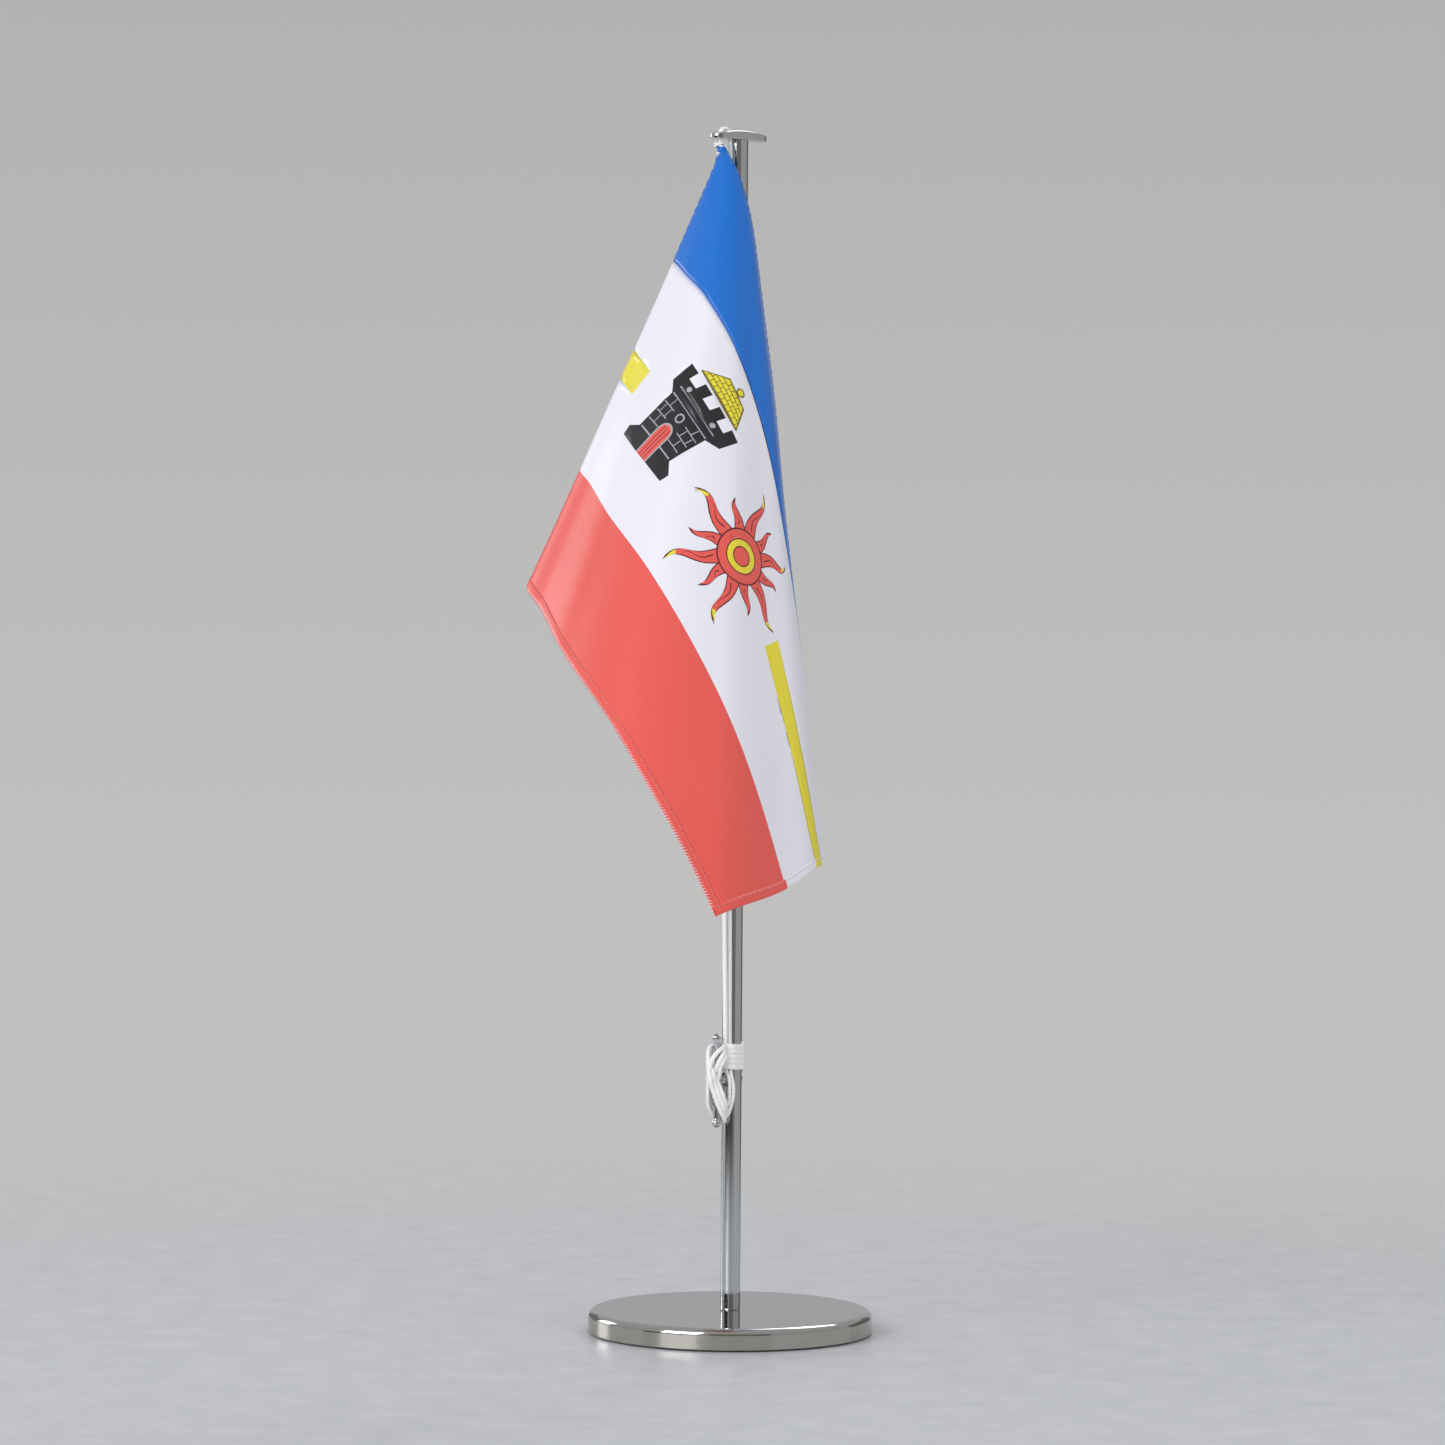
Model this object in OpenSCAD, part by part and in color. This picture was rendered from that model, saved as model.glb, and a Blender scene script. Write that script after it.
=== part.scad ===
// Desk flag stand: round weighted base, thin pole, top arm, cleat, cord and a small flag.
// The origin is the centre of the underside, on the pole's axis, and Z points up.

/* [Base] */
// Diameter of the round base
base_d = 100; // [80:1:140]
// Height of the base, felt included
base_h = 8; // [7:0.5:14]
// Radius of the base's rolled upper edge
base_edge_r = 2.5; // [1.5:0.25:4]
// Wall thickness of the pressed base cover
shell_t = 0.8; // [0.6:0.1:1.2]
// Thickness of the felt under the base
felt_t = 1.2; // [0.8:0.1:2]

/* [Pole] */
// Outer diameter of the pole
pole_d = 7; // [6.5:0.1:9]
// Wall thickness of the pole
pole_t = 0.8; // [0.6:0.1:1.2]
// Height of the arm's underside above the table
arm_z = 417.2; // [400:0.1:480]

/* [Arm and cleat] */
// Direction of the arm and cleat, turned from -Y towards -X
arm_turn = 38; // [30:1:45]
// Width of the top arm
arm_w = 7; // [6.5:0.1:9]
// Thickness of the arm at its middle
arm_h = 3.2; // [2.8:0.1:4]
// Distance of the outer cord hole from the pole's axis
hole_out = 10.3; // [10:0.1:12]
// Distance of the inner cord hole from the pole's axis
hole_in = 4.8; // [4.7:0.05:5]
// Radius of the cord holes
hole_r = 1.05; // [1:0.05:1.2]
// Height of the cleat's middle above the table
cleat_z = 89.1; // [80:0.1:100]
// Length of the cleat from tip to tip
cleat_l = 33; // [30:0.5:36]

/* [Cord] */
// Diameter of the cord
cord_d = 1.6; // [1.4:0.1:1.6]
// Height of the turns wound round the pole
wrap_h = 11.2; // [8:0.1:12]

/* [Flag] */
// Length of the flag along its stripes
flag_l = 250; // [200:1:250]
// Width of the flag across its stripes
flag_w = 150; // [120:1:150]
// Thickness of the cloth
cloth_t = 0.4; // [0.3:0.05:0.5]
// Thickness of the folded hem
hem_t = 0.8; // [0.6:0.05:1]
// Width of the folded hem
hem_w = 3; // [2:0.5:5]

/* [Hidden] */
$fn = 64;

base_r = base_d / 2;
lip_z = 0.6;
fit_gap = 0.2;
hairline = 0.02;
screw_hole_r = 2.1;
m4_r = 1.95;
m3_r = 1.45;
m25_r = 1.2;
washer_t = 0.8;
recess_r = 8;
recess_h = 3;
pole_r = pole_d / 2;
bore_r = pole_r - pole_t;
insert_l = 14;

arm_crown_r = 70;
arm_top = arm_z + arm_h;
arm_screw_head_r = 2.6;
arm_screw_head_h = 1.4;
// Directions along the arm, outwards at the flag's end, and across it
arm_dir = [-sin(arm_turn), -cos(arm_turn), 0];

cleat_bar_r = 1.3;
cleat_ball_r = 1.6;
cleat_out = 7.6;
cleat_bend_r = 110;
cleat_foot_r = 2.7;
cleat_bend = asin((cleat_l / 2 - cleat_ball_r) / cleat_bend_r);
cleat_thread_l = 5.5;

cord_r = cord_d / 2;
wrap_z = cleat_z + 2.8;
wrap_top = wrap_z + wrap_h;
wrap_shift = 0.6;
wrap_r = pole_r + 1.15;

// The flag's run of cord is one straight line from the outer hole to beside the wrap
run_top = concat_z(hole_out * arm_dir, arm_z);
run_foot = [-2.4, -5.9, 104];
run_dir = (run_top - run_foot) / norm(run_top - run_foot);
// The other run comes down beside the pole
back_top = concat_z(hole_in * arm_dir, arm_z);
back_foot = [-0.8, -4.35, wrap_top];

// The flag hangs from its top corner, where the blue edge and the hoist meet
sleeve_gap = 0.1;
sleeve_t = 0.25;
corner_z = 413;
corner = on_run(corner_z) + [0.7, -1.6, 0];
first_r = 4;
sleeve_start = 1;
knot_z = 415;

// Seen from the corner, the cloth leaves it in these directions: the angle in the flat
// cloth from the free long edge, then the X and Y of a unit vector that points down
drape = [
    [0, 0.14, -0.05], [8, 0.14, -0.19], [16, 0.13, -0.33], [24, 0.08, -0.40],
    [31, 0, -0.475], [40, -0.14, -0.50], [50, -0.27, -0.39], [58, -0.345, -0.28],
    [63, -0.39, -0.20], [68, -0.345, -0.14], [78, -0.19, -0.05], [90, 0.012, 0.0065]
];
// The free long edge swings out sideways below the corner, by at most this much
swell = 8.5;
swell_rise = 14;
swell_end = 290;
swell_angle = 75;

corner_angle = atan2(flag_w, flag_l);
// Angles of the cloth's rays: even steps, with closer ones round the sharp fold
rays = concat(
    [for (k = [0:9]) corner_angle * k / 10],
    [for (k = [0:9]) corner_angle + (57 - corner_angle) * k / 10],
    [for (k = [0:11]) 57 + k],
    [for (k = [0:7]) 69 + 3 * k]
);

function concat_z(v, z) = [v[0], v[1], z];
function on_run(z) = run_foot + (run_top - run_foot) * (z - run_foot[2]) / (run_top[2] - run_foot[2]);
function xy(row) = [row[1], row[2]];

// Smooth curve through the drape table
function slope_at(i) =
    let (a = max(i - 1, 0), b = min(i + 1, len(drape) - 1))
    (xy(drape[b]) - xy(drape[a])) / (drape[b][0] - drape[a][0]);
function span_of(angle, i = 0) =
    i >= len(drape) - 2 || angle < drape[i + 1][0] ? i : span_of(angle, i + 1);
function ray_xy(angle) =
    let (
        i = span_of(angle),
        h = drape[i + 1][0] - drape[i][0],
        t = (angle - drape[i][0]) / h
    )
    (2 * t * t * t - 3 * t * t + 1) * xy(drape[i])
    + (t * t * t - 2 * t * t + t) * h * slope_at(i)
    + (3 * t * t - 2 * t * t * t) * xy(drape[i + 1])
    + (t * t * t - t * t) * h * slope_at(i + 1);
function ray_dir(angle) = let (p = ray_xy(angle)) [p[0], p[1], -sqrt(1 - p * p)];
function swell_at(angle, r) =
    let (t = max(0, 1 - angle / swell_angle))
    swell * (1 - exp(-r / swell_rise)) * (1 - r / swell_end) * t * t * (3 - 2 * t);
function cloth_at(angle, r) = corner + r * ray_dir(angle) + [swell_at(angle, r), 0, 0];
function unit(v) = v / norm(v);
function cloth_normal(angle, r) =
    let (
        a0 = max(angle - 0.5, 0),
        a1 = min(angle + 0.5, 90),
        across = cloth_at(a1, r) - cloth_at(a0, r),
        along = cloth_at(angle, r + 0.5) - cloth_at(angle, r - 0.5)
    )
    unit(cross(across, along));
// Distance along a ray to the edge of the flag, less an inset
function edge_at(angle, inset) =
    angle < 0.01 ? flag_l - inset
    : min((flag_l - inset) / cos(angle), (flag_w - inset) / sin(angle));

// Closed plate between two sides of a grid of [angle, radius] points
module cloth_plate(grid, t) {
    rows = len(grid);
    cols = len(grid[0]);
    side = [
        for (s = [-1, 1], row = grid, q = row)
            let (half = min(t / 2, 0.012 * q[1]))
            cloth_at(q[0], q[1]) + s * half * cloth_normal(q[0], q[1])
    ];
    n = rows * cols;
    function id(s, i, j) = s * n + i * cols + j;
    faces = concat(
        [for (i = [0:rows - 2], j = [0:cols - 2]) each [
            [id(0, i, j), id(0, i, j + 1), id(0, i + 1, j + 1)],
            [id(0, i, j), id(0, i + 1, j + 1), id(0, i + 1, j)],
            [id(1, i, j), id(1, i + 1, j + 1), id(1, i, j + 1)],
            [id(1, i, j), id(1, i + 1, j), id(1, i + 1, j + 1)]
        ]],
        [for (i = [0:rows - 2]) each [
            [id(0, i, 0), id(0, i + 1, 0), id(1, i + 1, 0)],
            [id(0, i, 0), id(1, i + 1, 0), id(1, i, 0)],
            [id(0, i + 1, cols - 1), id(0, i, cols - 1), id(1, i, cols - 1)],
            [id(0, i + 1, cols - 1), id(1, i, cols - 1), id(1, i + 1, cols - 1)]
        ]],
        [for (j = [0:cols - 2]) each [
            [id(0, 0, j + 1), id(0, 0, j), id(1, 0, j)],
            [id(0, 0, j + 1), id(1, 0, j), id(1, 0, j + 1)],
            [id(0, rows - 1, j), id(0, rows - 1, j + 1), id(1, rows - 1, j + 1)],
            [id(0, rows - 1, j), id(1, rows - 1, j + 1), id(1, rows - 1, j)]
        ]]
    );
    polyhedron(side, faces, convexity = 6);
}

// Tube with eight sides along a list of points
module cord_tube(points, r) {
    sides = 8;
    last = len(points) - 1;
    rings = [
        for (i = [0:last])
            let (
                d = unit(points[min(i + 1, last)] - points[max(i - 1, 0)]),
                a = unit(cross(d, concat_z([arm_dir[1], -arm_dir[0]], 0))),
                b = cross(d, a)
            )
            for (k = [0:sides - 1])
                points[i] + r * (cos(k * 360 / sides) * a + sin(k * 360 / sides) * b)
    ];
    faces = concat(
        [[for (k = [0:sides - 1]) k]],
        [for (i = [0:last - 1], k = [0:sides - 1]) each [
            [i * sides + k, (i + 1) * sides + k, (i + 1) * sides + (k + 1) % sides],
            [i * sides + k, (i + 1) * sides + (k + 1) % sides, i * sides + (k + 1) % sides]
        ]],
        [[for (k = [0:sides - 1]) last * sides + sides - 1 - k]]
    );
    polyhedron(rings, faces, convexity = 6);
}

module ring(r_out, r_in, h) {
    difference() {
        cylinder(r = r_out, h = h);
        translate([0, 0, -1]) cylinder(r = r_in, h = h + 2);
    }
}

// Places children with their own X along the arm's direction
module along_arm() {
    rotate([0, 0, -90 - arm_turn]) children();
}

// Places children with their own Z up along the flag's run of cord
module along_run(z) {
    lean = acos(run_dir[2]);
    heading = atan2(run_dir[1], run_dir[0]);
    translate(on_run(z)) rotate([0, lean, heading]) children();
}

// Half section of a disc with a rounded upper rim
module rim_section(r, z0, z1, edge) {
    polygon(concat(
        [[0, z0], [r, z0]],
        [for (a = [0:7.5:90]) [r - edge + edge * cos(a), z1 - edge + edge * sin(a)]],
        [[0, z1]]
    ));
}

// Pressed cover of the base
module base_shell() {
    color("silver") difference() {
        rotate_extrude($fn = 128) rim_section(base_r, lip_z, base_h, base_edge_r);
        rotate_extrude($fn = 128)
            rim_section(base_r - shell_t, lip_z - 1, base_h - shell_t, base_edge_r - shell_t);
        cylinder(r = screw_hole_r, h = base_h + 1);
    }
}

// Cast disc that gives the base its weight
module base_weight() {
    color("dimgray") difference() {
        rotate_extrude($fn = 128)
            rim_section(base_r - shell_t - fit_gap, felt_t, base_h - shell_t - hairline, base_edge_r);
        cylinder(r = screw_hole_r, h = base_h);
        cylinder(r = recess_r, h = felt_t + recess_h);
    }
}

// Felt disc that covers the underside
module base_felt() {
    color("darkslategray") cylinder(r = base_r - shell_t - fit_gap, h = felt_t - hairline, $fn = 128);
}

// Washer in the recess under the weight
module base_washer() {
    color("gainsboro") translate([0, 0, felt_t + recess_h - washer_t - hairline])
        ring(4.5, screw_hole_r + 0.05, washer_t);
}

// Pan-head screw that draws the pole down on the base
module base_screw() {
    head_h = 2;
    head_top = felt_t + recess_h - washer_t - 2 * hairline;
    color("gainsboro") difference() {
        union() {
            translate([0, 0, head_top - head_h]) cylinder(r = 3.8, h = head_h);
            translate([0, 0, head_top - 0.5]) cylinder(r = m4_r, h = 15);
        }
        // Cross recess
        for (a = [0, 90])
            rotate([0, 0, a]) translate([-2, -0.4, 0]) cube([4, 0.8, head_top - head_h + 1.2]);
    }
}

// Chromed tube
module pole_tube() {
    color("lightgray") difference() {
        translate([0, 0, base_h + hairline]) ring(pole_r, bore_r, arm_z - base_h - 2 * hairline);
        translate([0, 0, cleat_z]) along_arm() rotate([0, 90, 0])
            cylinder(r = m25_r + 0.1, h = pole_d * 2, center = true);
    }
}

// Threaded plug in the foot of the tube
module foot_insert() {
    color("goldenrod") translate([0, 0, base_h + hairline])
        ring(bore_r - hairline, m4_r + 0.05, insert_l);
}

// Threaded plug in the top of the tube
module top_insert() {
    color("goldenrod") translate([0, 0, arm_z - hairline - insert_l])
        ring(bore_r - hairline, m3_r + 0.05, insert_l);
}

// Crowned bar with two cord holes at each end
module top_arm() {
    color("silver") difference() {
        intersection() {
            along_arm() translate([0, 0, arm_z]) linear_extrude(arm_h) union() {
                square([2 * hole_out, arm_w], center = true);
                for (s = [-1, 1]) translate([s * hole_out, 0]) circle(r = arm_w / 2);
            }
            along_arm() translate([0, 0, arm_top - arm_crown_r]) rotate([90, 0, 0])
                cylinder(r = arm_crown_r, h = arm_w + 2, center = true, $fn = 256);
        }
        along_arm() for (x = [-hole_out, -hole_in, hole_in, hole_out])
            translate([x, 0, arm_z - 1]) cylinder(r = hole_r, h = arm_h + 2);
        translate([0, 0, arm_z - 1]) cylinder(r = m3_r + 0.05, h = arm_h + 2);
        translate([0, 0, arm_top - arm_screw_head_h])
            cylinder(r1 = m3_r + 0.05, r2 = arm_screw_head_r, h = arm_screw_head_h + hairline);
    }
}

// Flush screw that holds the arm on the tube
module arm_screw() {
    head_top = arm_top - 0.1;
    color("gainsboro") difference() {
        union() {
            translate([0, 0, head_top - arm_screw_head_h + 0.1])
                cylinder(r1 = m3_r, r2 = arm_screw_head_r - 0.15, h = arm_screw_head_h - 0.1);
            translate([0, 0, head_top - 13]) cylinder(r = m3_r, h = 12);
        }
        // Slot
        translate([-4, -0.35, head_top - 0.8]) cube([8, 0.7, 2]);
    }
}

// Two-horned cleat with a round foot seated on the pole
module cleat() {
    color("silver") translate([0, 0, cleat_z]) difference() {
        along_arm() union() {
            rotate([0, 90, 0]) cylinder(r = cleat_foot_r, h = cleat_out);
            translate([cleat_out + cleat_bend_r, 0, 0]) rotate([90, 0, 0]) rotate([0, 0, 180 - cleat_bend])
                rotate_extrude(angle = 2 * cleat_bend, $fn = 256)
                    translate([cleat_bend_r, 0]) circle(r = cleat_bar_r);
            for (s = [-1, 1])
                translate([
                    cleat_out + cleat_bend_r * (1 - cos(cleat_bend)), 0, s * cleat_bend_r * sin(cleat_bend)
                ])
                    sphere(r = cleat_ball_r);
        }
        cylinder(r = pole_r + hairline, h = 20, center = true);
        along_arm() rotate([0, 90, 0]) cylinder(r = m25_r + 0.05, h = pole_r + cleat_thread_l - 1);
    }
}

// Screw that comes through the pole from behind and pulls the cleat on
module cleat_screw() {
    head_r = 1.75;
    head_h = 0.5;
    slot = [0.3, 0.5, 6];
    color("gainsboro") translate([0, 0, cleat_z]) difference() {
        along_arm() union() {
            translate([-pole_r - head_h, 0, 0]) rotate([0, 90, 0]) cylinder(r = head_r, h = head_h + 0.8);
            translate([-pole_r, 0, 0]) rotate([0, 90, 0]) cylinder(r = m25_r, h = 2 * pole_r + 3.5);
        }
        difference() {
            cylinder(r = pole_r + hairline, h = 20, center = true);
            along_arm() rotate([0, 90, 0]) cylinder(r = m25_r, h = 30, center = true);
        }
        along_arm() translate([-pole_r - head_h - 1, -slot.y / 2, -slot.z / 2]) cube([1 + slot.x, slot.y, slot.z]);
    }
}

// Cord from the wrap up beside the pole, over the arm and down through the flag's sleeve
module halyard() {
    steps = 24;
    bend = [[0, 0.6], [0.3, 2], [1.2, 3.15], [2.75, 3.6], [4.3, 3.15], [5.2, 2], [5.5, 0.6]];
    over = [for (q = bend) concat_z((hole_in + q[0]) * arm_dir, arm_z + q[1])];
    up = [for (k = [0:steps - 1]) back_foot + (back_top - back_foot) * k / steps];
    down = [for (k = [1:steps]) run_top + (run_foot - run_top) * k / steps];
    tail = [[-2.5, -6.1, 100], [-3, -6.6, 96]];
    color("white") cord_tube(concat(up, over, down, tail), cord_r);
}

// Turns of cord round the pole and over its hidden end
module halyard_wrap() {
    color("white") translate([0, 0, wrap_z]) difference() {
        translate(wrap_shift * arm_dir) cylinder(r = wrap_r, h = wrap_h);
        translate([0, 0, -1]) cylinder(r = pole_r + hairline, h = wrap_h + 2);
    }
}

// Outer shape of the figure-of-eight turns on the cleat: a spindle along the horns
module halyard_cleat_turns() {
    half_l = 13.6;
    half_w = 3.5;
    end_w = 0.8;
    middle = 8.3;
    side = [for (t = [-1:0.25:1]) [end_w + (half_w - end_w) * (1 - t * t), half_l * t]];
    color("white") translate([0, 0, cleat_z]) along_arm() difference() {
        translate([middle, 0, 0]) rotate_extrude()
            polygon(concat([[0, -half_l]], side, [[0, half_l]]));
        rotate([0, 90, 0]) cylinder(r = cleat_foot_r + hairline, h = cleat_out);
    }
}

// Knot on the cord just above the flag
module stop_knot() {
    color("white") along_run(knot_z) rotate_extrude()
        translate([cord_r + sleeve_gap + 0.75, 0]) circle(r = 0.75);
}

// Tunnel sewn along the hoist, round the cord
module hoist_sleeve() {
    bore = cord_r + sleeve_gap;
    color("royalblue") along_run(corner_z - sleeve_start) mirror([0, 0, 1])
        ring(bore + sleeve_t, bore, flag_w - sleeve_start);
}

// The hanging cloth inside its hem
module flag_cloth() {
    steps = 10;
    grid = [
        for (k = [0:len(rays) - 1])
            let (far = edge_at(rays[k], hem_w))
            [for (i = [0:steps])
                let (r = 2 * first_r + (far - 2 * first_r) * i / steps, least = asin(hem_w / r))
                [k < 10 ? least + (corner_angle - least) * k / 10 : rays[k], r]
            ]
    ];
    color("white") cloth_plate(grid, cloth_t);
}

// Folded hem along the three free edges
module edge_hem() {
    steps = 20;
    near = 2 * first_r;
    far = flag_l - hem_w - fit_gap;
    lower = [for (a = rays) [[a, edge_at(a, hem_w)], [a, edge_at(a, 0)]]];
    upper = [
        for (inner = [0, hem_w])
            [for (i = [0:steps]) let (r = near + (far - near) * i / steps) [asin(inner / r), r]]
    ];
    color("crimson") cloth_plate(lower, hem_t);
    color("royalblue") cloth_plate(upper, hem_t);
}

base_shell();
base_weight();
base_felt();
base_screw();
base_washer();
pole_tube();
foot_insert();
top_insert();
top_arm();
arm_screw();
cleat();
cleat_screw();
halyard();
halyard_wrap();
halyard_cleat_turns();
stop_knot();
hoist_sleeve();
flag_cloth();
edge_hem();
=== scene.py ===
import math
import random
import bpy
import numpy as np
from mathutils import Matrix, Vector
from mathutils.geometry import delaunay_2d_cdt


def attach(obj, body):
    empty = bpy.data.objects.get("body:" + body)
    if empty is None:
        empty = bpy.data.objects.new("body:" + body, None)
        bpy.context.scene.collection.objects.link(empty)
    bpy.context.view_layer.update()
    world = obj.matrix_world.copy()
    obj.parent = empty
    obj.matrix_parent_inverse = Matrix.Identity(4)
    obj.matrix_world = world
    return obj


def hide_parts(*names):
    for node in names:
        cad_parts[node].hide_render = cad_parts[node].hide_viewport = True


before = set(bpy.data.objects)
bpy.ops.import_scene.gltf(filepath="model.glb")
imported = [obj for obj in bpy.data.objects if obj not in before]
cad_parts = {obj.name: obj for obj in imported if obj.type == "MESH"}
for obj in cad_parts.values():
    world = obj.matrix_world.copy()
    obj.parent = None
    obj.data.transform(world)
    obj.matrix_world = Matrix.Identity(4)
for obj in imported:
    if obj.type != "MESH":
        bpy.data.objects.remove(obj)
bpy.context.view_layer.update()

MM = 0.001
rnd = random.Random(7)
scene = bpy.context.scene
scene.view_settings.view_transform = "Standard"


def lerp(a, b, t):
    return a + (b - a) * t


def smooth(t):
    t = min(max(t, 0.0), 1.0)
    return t * t * (3 - 2 * t)


def linear(rgb):
    """8-bit sRGB as a linear colour."""
    return tuple(((c / 255 + 0.055) / 1.055) ** 2.4 if c > 10 else c / 255 / 12.92 for c in rgb) + (1.0,)


# ---- camera
CAM_AT = Vector((0, -1.963, 0.280))
CAM_AIM = Vector((-0.00413, 0, 0.2141))
CAM_ROLL = math.radians(0.4)
cam = bpy.data.objects.new("camera", bpy.data.cameras.new("camera"))
scene.collection.objects.link(cam)
scene.camera = cam
cam.data.sensor_width = 36
cam.data.lens = 139.86
cam.location = CAM_AT
level = (CAM_AIM - CAM_AT).to_track_quat("-Z", "Y")
cam.rotation_mode = "QUATERNION"
cam.rotation_quaternion = level @ Matrix.Rotation(CAM_ROLL, 3, "Z").to_quaternion()

# ---- the part's own numbers, in mm
TURN = math.radians(38)  # from the camera's line to the arm, seen from above
ARM = Vector((-math.sin(TURN), -math.cos(TURN), 0))
ACROSS = Vector((-ARM.y, ARM.x, 0))
UP = Vector((0, 0, 1))
ARM_Z, ARM_H, ARM_W, CROWN_R = 417.2, 3.2, 7.0, 70.0
HOLE_OUT, HOLE_IN, HOLE_R = 10.3, 4.8, 1.05
POLE_R, BORE_R = 3.5, 2.7
BASE_R, BASE_H, LIP_Z, EDGE_R = 50.0, 8.0, 0.6, 2.5
CLEAT_Z, CLEAT_OUT, CLEAT_LONG, CLEAT_BEND = 89.1, 7.6, 33.0, 110.0
BALL_R, BAR_R, POST_R = 1.6, 1.2, 1.84
CORD_R = 0.8
RUN_TOP = ARM * HOLE_OUT + UP * ARM_Z
RUN_FOOT = Vector((-2.4, -5.9, 104))
RUN = (RUN_TOP - RUN_FOOT).normalized()
FLAG_L, FLAG_W, CLOTH_T = 250.0, 150.0, 0.26


def on_run(z):
    return RUN_FOOT + (RUN_TOP - RUN_FOOT) * ((z - RUN_FOOT.z) / (RUN_TOP.z - RUN_FOOT.z))


def at(s, c, z):
    """A point s along the arm's direction, c across it, at height z."""
    return ARM * s + ACROSS * c + UP * z


# ---- mesh helpers
def new_object(name, verts, faces, mats, smoothed):
    me = bpy.data.meshes.new(name)
    me.from_pydata([tuple(v) for v in verts], [], faces)
    for m in mats:
        me.materials.append(m)
    me.polygons.foreach_set("use_smooth", [smoothed] * len(me.polygons))
    me.update()
    ob = bpy.data.objects.new(name, me)
    scene.collection.objects.link(ob)
    return ob


def add_mesh(name, verts, faces, body, mats):
    """A smooth mesh, given in mm, that rides a body."""
    ob = new_object(name, [v * MM for v in verts], faces, mats, True)
    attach(ob, body)
    return ob


def spline(points, step):
    """Centripetal curve through the points, sampled at even steps."""
    pts = [points[0] * 2 - points[1]] + list(points) + [points[-1] * 2 - points[-2]]
    fine = []
    for i in range(1, len(pts) - 2):
        p0, p1, p2, p3 = pts[i - 1:i + 3]
        t0 = 0.0
        t1 = t0 + max((p1 - p0).length, 1e-6) ** 0.5
        t2 = t1 + max((p2 - p1).length, 1e-6) ** 0.5
        t3 = t2 + max((p3 - p2).length, 1e-6) ** 0.5
        n = max(2, int((p2 - p1).length / step * 3) + 1)
        for k in range(n):
            t = lerp(t1, t2, k / n)
            a1 = p0 * ((t1 - t) / (t1 - t0)) + p1 * ((t - t0) / (t1 - t0))
            a2 = p1 * ((t2 - t) / (t2 - t1)) + p2 * ((t - t1) / (t2 - t1))
            a3 = p2 * ((t3 - t) / (t3 - t2)) + p3 * ((t - t2) / (t3 - t2))
            b1 = a1 * ((t2 - t) / (t2 - t0)) + a2 * ((t - t0) / (t2 - t0))
            b2 = a2 * ((t3 - t) / (t3 - t1)) + a3 * ((t - t1) / (t3 - t1))
            fine.append(b1 * ((t2 - t) / (t2 - t1)) + b2 * ((t - t1) / (t2 - t1)))
    fine.append(points[-1].copy())
    length = [0.0]
    for a, b in zip(fine, fine[1:]):
        length.append(length[-1] + (b - a).length)
    n = max(2, round(length[-1] / step))
    out, j = [], 0
    for k in range(n + 1):
        want = length[-1] * k / n
        while j < len(fine) - 2 and length[j + 1] < want:
            j += 1
        seg = length[j + 1] - length[j]
        out.append(fine[j].lerp(fine[j + 1], (want - length[j]) / seg if seg > 0 else 0))
    return out, length[-1]


def frames(path):
    """Directions and a side vector carried along the path without twist."""
    n = len(path)
    dirs = [(path[min(i + 1, n - 1)] - path[max(i - 1, 0)]).normalized() for i in range(n)]
    side = dirs[0].orthogonal().normalized()
    sides = []
    for d in dirs:
        side = (side - d * side.dot(d)).normalized()
        sides.append(side.copy())
    return dirs, sides


def grid(rows, sides):
    """The faces between rows of points, each row a closed ring."""
    corners = [(i * sides, k, (k + 1) % sides) for i in range(rows - 1) for k in range(sides)]
    return [(i + k, i + j, i + sides + j, i + sides + k) for i, k, j in corners]


def tube(path, radius, sides, shape=None, closed=False):
    """A tube, its ends rounded unless it is closed. shape(i, offset) may press an offset flatter."""
    dirs, sv = frames(path)
    verts, faces = [], grid(len(path), sides)
    for i, p in enumerate(path):
        d, a = dirs[i], sv[i]
        b = d.cross(a)
        r = radius(i) if callable(radius) else radius
        for k in range(sides):
            t = 2 * math.pi * k / sides
            off = a * (r * math.cos(t)) + b * (r * math.sin(t))
            if shape:
                off = shape(i, off)
            verts.append(p + off)
    if not closed:
        for i, s in ((0, -1), (len(path) - 1, 1)):
            r = radius(i) if callable(radius) else radius
            base = i * sides
            prev = [base + k for k in range(sides)]
            for t in (0.45, 0.8):
                ring = []
                for k in range(sides):
                    off = verts[base + k] - path[i]
                    ring.append(len(verts))
                    verts.append(path[i] + off * math.sqrt(1 - t * t) + dirs[i] * (s * t * r * 0.8))
                for k in range(sides):
                    j = (k + 1) % sides
                    f = (prev[k], prev[j], ring[j], ring[k])
                    faces.append(f if s > 0 else f[::-1])
                prev = ring
            tip = len(verts)
            verts.append(path[i] + dirs[i] * (s * r * 0.8))
            for k in range(sides):
                f = (prev[k], prev[(k + 1) % sides], tip)
                faces.append(f if s > 0 else f[::-1])
    return verts, faces


def lathe(profile, segments, closed=False):
    """Turns a profile of (radius, height) round Z. Radius 0 makes a pole."""
    verts, faces, rings = [], [], []
    for r, z in profile:
        if r < 1e-9:
            rings.append([len(verts)] * segments)
            verts.append(Vector((0, 0, z)))
        else:
            rings.append(list(range(len(verts), len(verts) + segments)))
            for k in range(segments):
                t = 2 * math.pi * k / segments
                verts.append(Vector((r * math.cos(t), r * math.sin(t), z)))
    pairs = list(zip(rings, rings[1:])) + ([(rings[-1], rings[0])] if closed else [])
    for a, b in pairs:
        for k in range(segments):
            j = (k + 1) % segments
            f = []
            for i in (a[k], a[j], b[j], b[k]):
                if i not in f:
                    f.append(i)
            if len(f) > 2:
                faces.append(tuple(f))
    return verts, faces


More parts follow.
